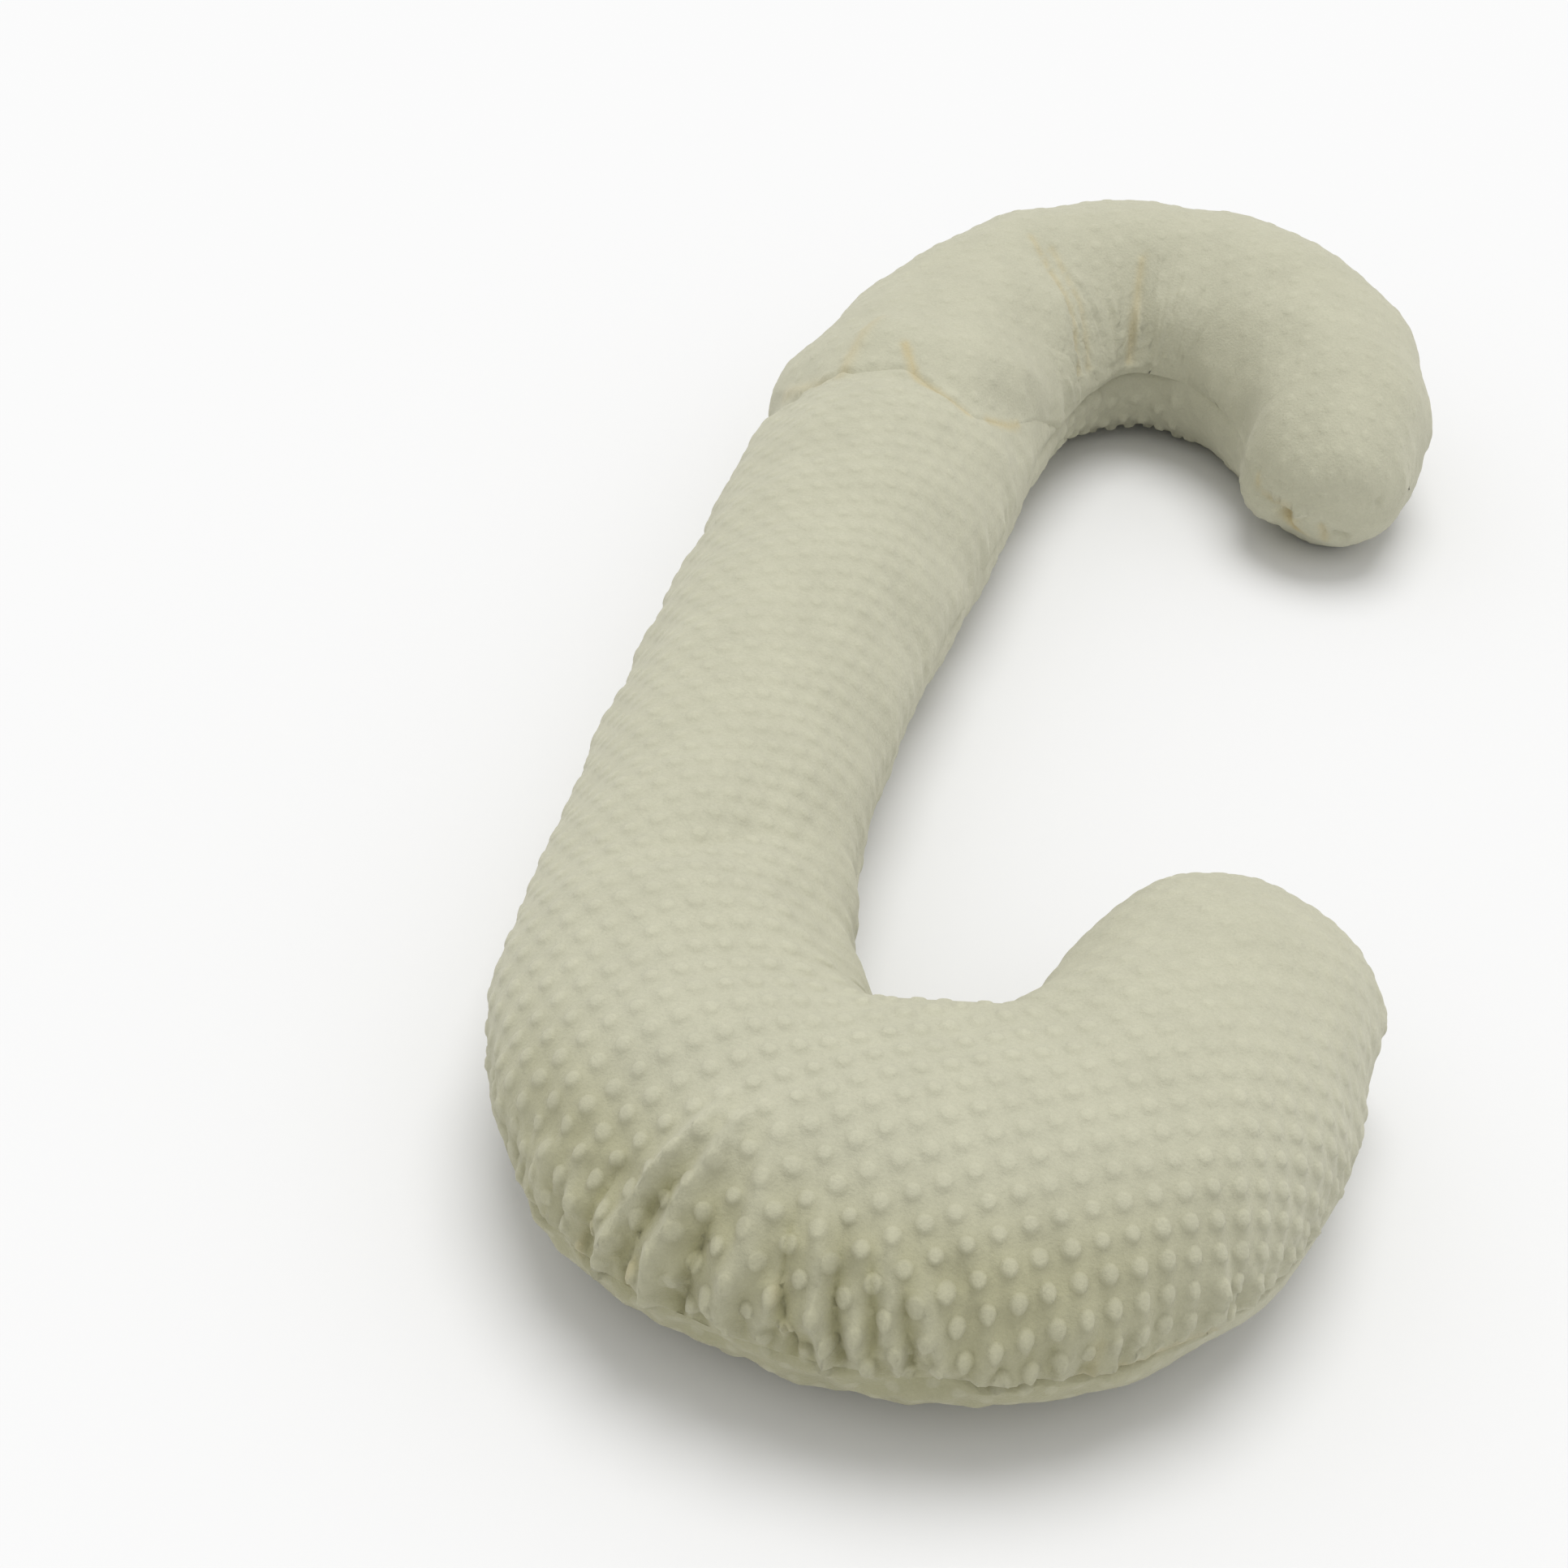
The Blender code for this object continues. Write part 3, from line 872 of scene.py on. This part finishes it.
def fold_rise(points):
    """What the gathers, creases, pleats and wrinkles add to the cloth."""
    rise = np.zeros(len(points))
    for fold in (*GATHERS, *CREASES, *small_pleats(), *head_wrinkles()):
        line = line_on_form(fold.line)
        reach = 3.2 * fold.width
        near = np.all(
            (points > line.min(axis=0) - reach) & (points < line.max(axis=0) + reach), axis=1
        )
        away, share = near_line(points[near], line)
        away = away / fold.width
        fade = 1.0 - 0.8 * smooth_step(0.5, 1.0, share)
        profile = np.exp(-(away**2)) if fold.rise > 0 else np.exp(-away)
        rise[near] += fold.rise * fade * profile
    return rise


def painted_crease_shade(points):
    """How much painted shade, along creases, hollows and seams, the cloth takes at each point, from
    0 to 1.
    """
    strength = np.zeros(len(points))
    for fold in PAINTED_CREASE_SHADES:
        away, _ = near_line(points, line_on_form(fold.line))
        strength = np.maximum(strength, fold.rise * np.exp(-((away / fold.width) ** 2)))
    return strength


def painted_gather_shade(station, angle, height, folded):
    """How much painted shade falls among the hook's gathers and low on its front, from 0 to 1: most
    in the hollows, less on the crests and the dots.
    """
    along = on_stretch(station, 0.16, 0.30, 0.46, 0.58)
    low = by_outer_seam(angle, 0.50, 0.985)
    hollow = np.clip(-folded / 0.004, 0.0, 1.0)
    crest = np.clip(folded / 0.005, 0.0, 1.0)
    return along * low * (0.72 - 0.32 * height - 0.30 * crest * (1.0 - height) + 0.40 * hollow)


# ---- panels --------------------------------------------------------------------------------

# A panel to be cut: above says on which side of the shoulder seam it lies, or None for neither.
Cut = namedtuple("Cut", "name face pattern rows sides above")
MOST_REACH = 0.24  # more than any panel reaches to either side of its centre line
PAST_SEAM = 0.022  # cells are kept this far past the seams until they are trimmed
HEAD_PITCH = 0.0222  # from dot to dot along both rows of the head
HEAD_DOT_SHARE = 0.85  # of the width of the other dots
SHOULDER_POINTS = 90  # of the chain of points that follows the shoulder seam


def shoulder_station(angle):
    """Station of the shoulder seam at each angle."""
    rows = np.array(SHOULDER_SEAM, dtype=float)
    return np.interp(np.degrees(angle), rows[:, 1], rows[:, 0])


def on_shoulder(points):
    """Stations and angles of the places on the shoulder seam that lie nearest."""
    _, share = near_line(points, line_on_form(SHOULDER_SEAM, SHOULDER_POINTS))
    rows = np.array(SHOULDER_SEAM, dtype=float)
    row = np.arange(len(rows))
    at = share * row[-1]
    return np.interp(at, row, rows[:, 0]), np.radians(np.interp(at, row, rows[:, 1]))


def shoulder_room(cut, station, angle, points):
    """Distance from the shoulder seam, less than 0 past it; large where the panel has none."""
    if cut.above is None:
        return np.full(len(station), 1.0)
    away, _ = near_line(points, line_on_form(SHOULDER_SEAM, SHOULDER_POINTS))
    beyond = station - shoulder_station(angle)
    return away * np.sign(beyond) * (1.0 if cut.above else -1.0)


def cell_range(cut):
    """First and last cells, in both directions, that the panel can reach."""
    pattern = cut.pattern
    across = np.stack([-np.sin(pattern.headings), np.cos(pattern.headings)], axis=-1)
    reach = [pattern.points + way * MOST_REACH * across for way in (-1, 1)]
    counts = cut.rows.count(np.concatenate(reach))
    return np.floor(counts.min(axis=0)).astype(int) - 6, np.ceil(counts.max(axis=0)).astype(int) + 6


def placed(cut, flat, snapped):
    """Stations, angles, points and distances from the seams of flat places on the form."""
    station, angle, inside = cut.pattern.lay(flat, snapped == 1)
    steep = (snapped == 2) & (angle > CORNER_ANGLE)
    if steep.any():
        station[steep], angle[steep] = on_shoulder(form(station[steep], angle[steep]))
    lapped = SHOULDER_LAP * (-1.0 if cut.above else 1.0)
    station = np.where(snapped == 2, shoulder_station(angle) + lapped, station)
    for mark, corner in ((3, SHOULDER_SEAM[0]), (4, SHOULDER_SEAM[-1])):
        station = np.where(snapped == mark, corner[0], station)
        angle = np.where(snapped == mark, lowered(radians(corner[1])), angle)
    points = form(station, angle)
    across = shoulder_room(cut, station, angle, points)
    across = np.where(snapped > 1, 0.0, across)
    return station, angle, points, inside, across


def panel_grid(cut):
    """The panel's grid of cells with those outside its outline removed, as a bmesh."""
    low, high = cell_range(cut)
    cells = high - low
    bm = bmesh.new()
    bmesh.ops.create_grid(bm, x_segments=int(cells[0]), y_segments=int(cells[1]), size=1.0)
    corner = np.array([vert.co[:2] for vert in bm.verts])
    lines = low + np.round((corner + 1.0) / 2.0 * cells)
    for vert, line in zip(bm.verts, lines):
        vert.co = (line[0] * cut.sides, line[1] * cut.sides, 0.0)
    faces = list(bm.faces)
    middles = np.array([face.calc_center_median()[:2] for face in faces]) / cut.sides - 0.5
    _, _, _, inside, across = placed(cut, cut.rows.place(middles), np.zeros(len(faces), int))
    outside = np.minimum(inside, across) < -PAST_SEAM
    gone = [face for face, out in zip(faces, outside) if out]
    bmesh.ops.delete(bm, geom=gone, context="FACES")
    bmesh.ops.subdivide_edges(bm, edges=list(bm.edges), cuts=cut.sides - 1, use_grid_fill=True)
    return bm


def trimmed(bm, cut, look):
    """Removes what lies outside the seams; returns flat places, heights and which verts snap."""
    bm.verts.ensure_lookup_table()
    lines = np.round(np.array([vert.co[:2] for vert in bm.verts]))
    radius = dot_radius(lines // cut.sides, look) * (HEAD_DOT_SHARE if cut.above else 1.0)
    flat, height = cell_pattern(cut.rows, cut.sides, lines[:, 0], lines[:, 1], radius)
    _, _, _, inside, across = placed(cut, flat, np.zeros(len(flat), int))
    room = np.minimum(inside, across)
    number = numbered(bm)
    gone = [f for f in bm.faces if sum(room[v[number]] for v in f.verts) < 0.0]
    bmesh.ops.delete(bm, geom=gone, context="FACES")
    for _ in range(3):
        thin = [f for f in bm.faces if sum(v.is_boundary for v in f.verts) == 4]
        thin += [f for f in bm.faces if sum(e.is_boundary for e in f.edges) > 2]
        if thin:
            bmesh.ops.delete(bm, geom=list(dict.fromkeys(thin)), context="FACES")
    kept = np.array([vert[number] for vert in bm.verts])
    edge = np.array([vert.is_boundary for vert in bm.verts])
    nearest = np.where(inside[kept] <= across[kept], 1, 2)
    snapped = np.where(edge, nearest, 0)
    if cut.above is not None:
        _, _, points, _, _ = placed(cut, flat[kept], snapped)
        for mark, corner in ((3, SHOULDER_SEAM[0]), (4, SHOULDER_SEAM[-1])):
            aim = form(corner[0], lowered(radians(corner[1])))
            away = np.linalg.norm(points - aim, axis=1) + 9.0 * ~edge
            snapped[np.argmin(away)] = mark
    return lines[kept], flat[kept], height[kept], snapped


def numbered(bm):
    """A layer that keeps each vertex's number, whatever is cut away or added later."""
    number = bm.verts.layers.int.get("number") or bm.verts.layers.int.new("number")
    for k, vert in enumerate(bm.verts):
        vert[number] = k
    return number


def cell_random(cells, seed):
    """One repeatable random value from -1 to 1 for each cell."""
    mixed = np.sin(cells[:, 0] * 12.9898 + cells[:, 1] * 78.233 + seed * 37.719) * 43758.5453
    return 2.0 * (mixed - np.floor(mixed)) - 1.0


def dot_radius(cells, look):
    return look.dot_width / 2 * (1.0 + 0.10 * cell_random(cells, 1))


def turned_in(bm, points, normals, angle, face):
    """Turns a narrow allowance of cloth in past the seams, out of sight."""
    number = numbered(bm)
    edges = [edge for edge in bm.edges if edge.is_boundary]
    made = bmesh.ops.extrude_edge_only(bm, edges=edges)["geom"]
    for edge in edges:
        edge.smooth = False
    lift = 0.35 if face is TOP else -0.35
    for vert in [item for item in made if isinstance(item, bmesh.types.BMVert)]:
        k = vert[number]
        way = -normals[k] + np.array([0.0, 0.0, lift * abs(cos(angle[k])) ** 4])
        vert.co = points[k] + ALLOWANCE * way
        vert.co.z = max(vert.co.z, 0.0)


def dot_heights(cut, station, angle, cells, flatten, look):
    """Height of the dots at each place, flattened near the seams."""
    if cut.face is UNDER:
        outer, inner, in_bend = UNDER_DOTS
        bend = on_stretch(station, 1.46, 1.54, 1.84, 1.92)
        tall = np.where(np.cos(angle) > 0, outer, inner + in_bend * bend)
        return look.dot_rise * flatten * tall
    tall = relief(station, angle, "rim") * (1.0 + 0.15 * cell_random(cells, 2)) * flatten
    return tall * look.dot_rise


def sewn_swell(cut, station, angle, inside, across):
    """The swell of the filling, with the seams drawn into it."""
    rise = swell(station, angle)
    if cut.face is UNDER:
        even = np.mean([swell(station + way, angle) for way in SETTLING], axis=0)
        rise = rise + (even - rise) * smooth_step(0.0, 0.03, inside)
    drawn = drawn_in(inside, SEAM_DEPTH, SEAM_WIDTH, SEAM_LIP)
    rise = rise + relief(station, angle, "seam") * drawn
    rise = rise + drawn_in(across, SHOULDER_DEPTH, SHOULDER_WIDTH, SHOULDER_LIP)
    rise = rise + SHOULDER_FILL * np.exp(-((across / SHOULDER_SPREAD) ** 2))
    if cut.face is UNDER:
        rise = rise - set_back(station, angle, inside)
    return rise


def panel(cut, look):
    """One panel of dotted plush, sewn in at its seams and laid over the filling."""
    bm = panel_grid(cut)
    lines, flat, height, snapped = trimmed(bm, cut, look)
    station, angle, points, inside, across = placed(cut, flat, snapped)
    normals = outward(station, np.clip(angle, 0.003, None))
    inside = np.where((snapped == 1) | (snapped > 2), 0.0, inside)
    room = np.minimum(inside, across)
    cells = lines // cut.sides
    flatten = smooth_step(DOT_MARGIN[0], DOT_MARGIN[1], room)
    tall = dot_heights(cut, station, angle, cells, flatten, look)
    rise = sewn_swell(cut, station, angle, inside, across)
    puckered = puckers(station, angle, np.maximum(inside, 0.0), 11 if cut.face is TOP else 31)
    rise = rise + puckered * (1.0 if cut.face is TOP else 0.15)
    fade = smooth_step(-0.001, 0.006, room)
    folded = fold_rise(points)
    rise = rise + fade * (folded + unevenness(points) + lumps(points, station, angle))
    if cut.face is TOP and not cut.above:
        pleat = tails(cut, flat, cells, station) * relief(station, angle, "tail") * look.dot_rise
        rise = rise + pleat * flatten
    rise = rise + height * tall
    base = points
    points = points + normals * rise[:, None]
    points[:, 2] = np.maximum(points[:, 2], 0.0)
    for vert, place in zip(bm.verts, points):
        vert.co = place
    bm.normal_update()
    facing = sum(vert.normal.dot(Vector(way)) for vert, way in zip(bm.verts, normals))
    turned_in(bm, points, normals, angle, cut.face)
    if facing < 0:
        bmesh.ops.reverse_faces(bm, faces=list(bm.faces))
    values = {
        # painted shade between the dots and painted highlight on them
        "dot": height * np.minimum(1.0, tall / 0.002),
        # painted shade along the creases, hollows and seams
        "painted_crease_shade": painted_crease_shade(base),
        # painted shade among the hook's gathers
        "painted_gather_shade": painted_gather_shade(station, angle, height, folded),
    }
    return finished_panel(bm, cut, flat, values)


def finished_panel(bm, cut, flat, values):
    """The panel's object, with its pattern as a UV map, and its dots and the painted shade of its
    seams, creases and gathers as attributes.
    """
    mesh = bpy.data.meshes.new(cut.name)
    number = bm.verts.layers.int["number"]
    order = np.array([vert[number] for vert in bm.verts])
    bm.verts.layers.int.remove(number)
    bm.to_mesh(mesh)
    bm.free()
    flat = flat[order]
    corners = np.empty(len(mesh.loops), int)
    mesh.loops.foreach_get("vertex_index", corners)
    mesh.uv_layers.new(name="pattern").data.foreach_set("uv", flat[corners].ravel())
    for name, value in values.items():
        mesh.attributes.new(name, "FLOAT", "POINT").data.foreach_set("value", value[order])
    mesh.shade_smooth()
    piece = bpy.data.objects.new(cut.name, mesh)
    bpy.context.scene.collection.objects.link(piece)
    return piece


# Gradients of the rows in dots to the metre: at the heel's outer edge, and past the heel.
BODY_ROWS = DotRows(
    np.array([[41.53, 27.80], [-28.41, 39.68]]),
    np.array([[38.90, 34.66], [-24.03, 45.57]]),
    span=(-0.40, -0.10),
    hinge=-0.15,
)
HEAD_ROWS = DotRows(gradients(38.0, HEAD_PITCH, 116.0, HEAD_PITCH))
HEAD_BEND_SHARE = 0.82  # of the centre line's bend that the head's flat pattern keeps
HEAD_HINGE = 1.37  # station about which that pattern is straightened


def make_piece(cut):
    """Builds a panel, gives it its plush and ties it to the frame."""
    look = bpy.context.scene.pillow_plush
    piece = panel(cut, look)
    piece.data.materials.append(plush(look))
    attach(piece, BODY)
    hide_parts(SOLID)
    return piece


# ---- plush ---------------------------------------------------------------------------------

PATCH_SHADES = (0.955, 1.035)  # darkest and lightest share of the colour in brushed patches
FIBRE_SHADES = (0.95, 1.05)
PAINTED_DOT_SHADE_AND_HIGHLIGHT = (0.985, 1.02)  # painted shade between the dots, and painted highlight on them


def node(tree, kind, **values):
    """A node of that kind with its inputs set by name."""
    made = tree.nodes.new(kind)
    for name, value in values.items():
        made.inputs[name.replace("_", " ")].default_value = value
    return made


def pile_group():
    """The plush's pile: brushed patches, painted shade in the valleys between dots with a painted
    highlight on the dots, and a fine fibre bump.
    """
    if "plush pile" in bpy.data.node_groups:
        return bpy.data.node_groups["plush pile"]
    tree = bpy.data.node_groups.new("plush pile", "ShaderNodeTree")
    tree.interface.new_socket("Shade", in_out="OUTPUT", socket_type="NodeSocketFloat")
    tree.interface.new_socket("Normal", in_out="OUTPUT", socket_type="NodeSocketVector")
    out = tree.nodes.new("NodeGroupOutput")
    place = tree.nodes.new("ShaderNodeTexCoord")
    patches = node(tree, "ShaderNodeTexNoise", Scale=26.0, Detail=4.0, Roughness=0.62)
    fibres = node(tree, "ShaderNodeTexNoise", Scale=420.0, Detail=4.0, Roughness=0.7)
    tree.links.new(place.outputs["Object"], patches.inputs["Vector"])
    tree.links.new(place.outputs["Object"], fibres.inputs["Vector"])
    # Painted shade between the dots and painted highlight on them, read from the dot attribute
    dot = tree.nodes.new("ShaderNodeAttribute")
    dot.attribute_name = "dot"
    shade = None
    for source, ends, shades in (
        (patches, (0.3, 0.7), PATCH_SHADES),
        (fibres, (0.3, 0.7), FIBRE_SHADES),
        (dot, (0.0, 0.8), PAINTED_DOT_SHADE_AND_HIGHLIGHT),
    ):
        ranged = node(
            tree, "ShaderNodeMapRange",
            From_Min=ends[0], From_Max=ends[1], To_Min=shades[0], To_Max=shades[1],
        )
        tree.links.new(source.outputs["Fac"], ranged.inputs["Value"])
        if shade is None:
            shade = ranged.outputs["Result"]
            continue
        times = tree.nodes.new("ShaderNodeMath")
        times.operation = "MULTIPLY"
        tree.links.new(shade, times.inputs[0])
        tree.links.new(ranged.outputs["Result"], times.inputs[1])
        shade = times.outputs["Value"]
    bump = node(tree, "ShaderNodeBump", Strength=0.65, Distance=0.0015)
    tree.links.new(fibres.outputs["Fac"], bump.inputs["Height"])
    tree.links.new(shade, out.inputs["Shade"])
    tree.links.new(bump.outputs["Normal"], out.inputs["Normal"])
    return tree


def plush(look):
    """The cream plush, shared by the panels."""
    if "dotted plush" in bpy.data.materials:
        return bpy.data.materials["dotted plush"]
    material = bpy.data.materials.new("dotted plush")
    material.use_nodes = True
    tree = material.node_tree
    shader = tree.nodes["Principled BSDF"]
    shader.inputs["Roughness"].default_value = 0.95
    shader.inputs["Specular IOR Level"].default_value = 0.25
    shader.inputs["Sheen Weight"].default_value = look.sheen
    shader.inputs["Sheen Roughness"].default_value = 0.45
    shader.inputs["Sheen Tint"].default_value = (1.0, 0.97, 0.86, 1.0)
    pile = tree.nodes.new("ShaderNodeGroup")
    pile.node_tree = pile_group()
    # Painted shade: the plush's colour is mixed towards the darker colours of the creases, hollows
    # and seams and of the hook's gathers
    colour = None
    for name, other in (("painted_crease_shade", look.crease_shade_colour), ("painted_gather_shade", look.gather_shade_colour)):
        share = tree.nodes.new("ShaderNodeAttribute")
        share.attribute_name = name
        mix = tree.nodes.new("ShaderNodeMix")
        mix.data_type = "RGBA"
        mix.inputs["A"].default_value = (*look.colour, 1.0)
        mix.inputs["B"].default_value = (*other, 1.0)
        tree.links.new(share.outputs["Fac"], mix.inputs["Factor"])
        if colour is not None:
            tree.links.new(colour, mix.inputs["A"])
        colour = mix.outputs["Result"]
    tint = tree.nodes.new("ShaderNodeVectorMath")
    tint.operation = "SCALE"
    tree.links.new(colour, tint.inputs[0])
    tree.links.new(pile.outputs["Shade"], tint.inputs["Scale"])
    tree.links.new(tint.outputs["Vector"], shader.inputs["Base Color"])
    tree.links.new(pile.outputs["Normal"], shader.inputs["Normal"])
    return material


# ---- stage ---------------------------------------------------------------------------------

CAMERA_PLACE = (0.1896, -1.8577, 1.3305)
CAMERA_YAW = 11.67  # anticlockwise from +Y
CAMERA_DIP = 36.53  # below the horizon
CAMERA_ROLL = 4.16
CAMERA_LENS = 64.78  # mm, on a 36 mm sensor
FLOOR_REACH = 30.0
KEY_WAY = (-0.02, -0.25, -1.0)  # the way that the main light shines


def staged(thing):
    bpy.context.scene.collection.objects.link(thing)


def make_floor(look):
    """A wide pale floor that the pillow rests on."""
    bm = bmesh.new()
    bmesh.ops.create_grid(bm, x_segments=1, y_segments=1, size=FLOOR_REACH)
    mesh = bpy.data.meshes.new("floor")
    bm.to_mesh(mesh)
    bm.free()
    floor = bpy.data.objects.new("floor", mesh)
    material = bpy.data.materials.new("pale floor")
    material.use_nodes = True
    shader = material.node_tree.nodes["Principled BSDF"]
    shader.inputs["Base Color"].default_value = (*look.floor_colour, 1.0)
    shader.inputs["Roughness"].default_value = 0.9
    shader.inputs["Specular IOR Level"].default_value = 0.0
    mesh.materials.append(material)
    staged(floor)


def make_key_light(look):
    """A broad soft light from high up and a little beyond the head."""
    lamp = bpy.data.lights.new("key light", "SUN")
    lamp.energy = look.key_strength
    lamp.angle = look.key_softness
    thing = bpy.data.objects.new("key light", lamp)
    thing.rotation_euler = Vector(KEY_WAY).to_track_quat("-Z", "Y").to_euler()
    staged(thing)


def make_camera():
    """The camera, at its place and turned by its yaw, dip and roll."""
    lens = bpy.data.cameras.new("camera")
    lens.lens = CAMERA_LENS
    lens.sensor_width = 36.0
    lens.clip_end = 100.0
    camera = bpy.data.objects.new("camera", lens)
    turn = Matrix.Rotation(radians(CAMERA_YAW), 4, "Z")
    turn = turn @ Matrix.Rotation(radians(90.0 - CAMERA_DIP), 4, "X")
    turn = turn @ Matrix.Rotation(radians(CAMERA_ROLL), 4, "Z")
    camera.matrix_world = Matrix.Translation(CAMERA_PLACE) @ turn
    bpy.context.scene.camera = camera
    staged(camera)


def make_world(look):
    world = bpy.data.worlds.new("studio")
    world.use_nodes = True
    sky = world.node_tree.nodes["Background"]
    sky.inputs["Color"].default_value = (1.0, 1.0, 1.0, 1.0)
    sky.inputs["Strength"].default_value = look.sky_strength
    bpy.context.scene.world = world
    bpy.context.scene.view_settings.view_transform = "Standard"


# ---- the add-on ----------------------------------------------------------------------------


class PillowFilling(PropertyGroup):
    """How the filling blows up the cloth."""

    cell: FloatProperty(
        name="Cell", description="Side of the cloth's cells", default=0.006, unit="LENGTH"
    )
    slack: FloatProperty(
        name="Slack", description="How far the cloth starts inside", default=0.003, unit="LENGTH"
    )
    pressure: FloatProperty(name="Pressure", description="Push of the filling", default=4.0)
    frames: IntProperty(name="Frames", description="Steps of the simulation", default=16)
    most_swell: FloatProperty(
        name="Most swell", description="Most that the cloth may move", default=0.008, unit="LENGTH"
    )


class PillowPlush(PropertyGroup):
    """The dots and the colour of the plush."""

    dot_width: FloatProperty(
        name="Dot width", description="Width of a raised dot", default=0.0116, unit="LENGTH"
    )
    dot_rise: FloatProperty(
        name="Dot rise", description="How strongly the dots stand out; 1 is as made", default=1.0
    )
    colour: FloatVectorProperty(
        name="Colour",
        description="Colour of the plush",
        default=(0.522, 0.512, 0.388),
        subtype="COLOR",
    )
    # Painted shade: the darker, warmer colour laid along creases, hollows and seams
    crease_shade_colour: FloatVectorProperty(
        name="Crease_shade",
        description="Colour deep in seams and hollows",
        default=(0.54, 0.45, 0.24),
        subtype="COLOR",
    )
    # Painted shade: the darker colour of the hook's gathers, deepest in their hollows
    gather_shade_colour: FloatVectorProperty(
        name="Gather_shade",
        description="Colour of crushed pile among the gathers",
        default=(0.36, 0.345, 0.20),
        subtype="COLOR",
    )
    sheen: FloatProperty(name="Sheen", description="Soft light caught by the pile", default=0.3)


class PillowStage(PropertyGroup):
    """Floor and light."""

    floor_colour: FloatVectorProperty(
        name="Floor", description="Colour of the floor", default=(0.80, 0.80, 0.80), subtype="COLOR"
    )
    key_strength: FloatProperty(name="Key", description="Strength of the main light", default=1.52)
    key_softness: FloatProperty(
        name="Softness", description="Width of the main light", default=0.7, subtype="ANGLE"
    )
    sky_strength: FloatProperty(name="Sky", description="Strength of the room light", default=0.74)


class PILLOW_OT_body_top(Operator):
    """Lays the body's top panel, from the lower hook to the shoulder seam"""

    bl_idname = "pillow.body_top"
    bl_label = "Body Top Panel"

    def execute(self, context):
        make_piece(Cut("body_top_panel", TOP, Pattern(TOP), BODY_ROWS, 8, False))
        return {"FINISHED"}


class PILLOW_OT_head_top(Operator):
    """Lays the head's top panel, from the shoulder seam to the head tip"""

    bl_idname = "pillow.head_top"
    bl_label = "Head Top Panel"

    def execute(self, context):
        pattern = Pattern(TOP, HEAD_BEND_SHARE, HEAD_HINGE)
        make_piece(Cut("head_top_panel", TOP, pattern, HEAD_ROWS, 12, True))
        return {"FINISHED"}


class PILLOW_OT_under_panel(Operator):
    """Lays the under panel, from end to end"""

    bl_idname = "pillow.under_panel"
    bl_label = "Under Panel"

    def execute(self, context):
        make_piece(Cut("under_panel", UNDER, Pattern(UNDER), BODY_ROWS, 6, None))
        return {"FINISHED"}


class PILLOW_OT_stage(Operator):
    """Sets the floor, the lights and the camera"""

    bl_idname = "pillow.stage"
    bl_label = "Stage"

    def execute(self, context):
        look = context.scene.pillow_stage
        make_floor(look)
        make_key_light(look)
        make_camera()
        make_world(look)
        return {"FINISHED"}


class PILLOW_PT_sidebar(Panel):
    """Sizes, colours and the pieces in order"""

    bl_idname = "PILLOW_PT_sidebar"
    bl_label = "Body Pillow"
    bl_space_type = "VIEW_3D"
    bl_region_type = "UI"
    bl_category = "Pillow"

    def draw(self, context):
        scene = context.scene
        for group in (scene.pillow_filling, scene.pillow_plush, scene.pillow_stage):
            box = self.layout.box()
            for name in group.bl_rna.properties.keys():
                if name not in {"rna_type", "name"}:
                    box.prop(group, name)
        for step in STEPS:
            self.layout.operator(step.bl_idname)


STEPS = (PILLOW_OT_body_top, PILLOW_OT_head_top, PILLOW_OT_under_panel, PILLOW_OT_stage)
CLASSES = (PillowFilling, PillowPlush, PillowStage, *STEPS, PILLOW_PT_sidebar)


def register():
    for cls in CLASSES:
        bpy.utils.register_class(cls)
    bpy.types.Scene.pillow_filling = PointerProperty(type=PillowFilling)
    bpy.types.Scene.pillow_plush = PointerProperty(type=PillowPlush)
    bpy.types.Scene.pillow_stage = PointerProperty(type=PillowStage)


def unregister():
    del bpy.types.Scene.pillow_stage
    del bpy.types.Scene.pillow_plush
    del bpy.types.Scene.pillow_filling
    for cls in reversed(CLASSES):
        bpy.utils.unregister_class(cls)


def main():
    register()
    bpy.ops.pillow.body_top()
    bpy.ops.pillow.head_top()
    bpy.ops.pillow.under_panel()
    bpy.ops.pillow.stage()


if __name__ == "__main__":
    main()
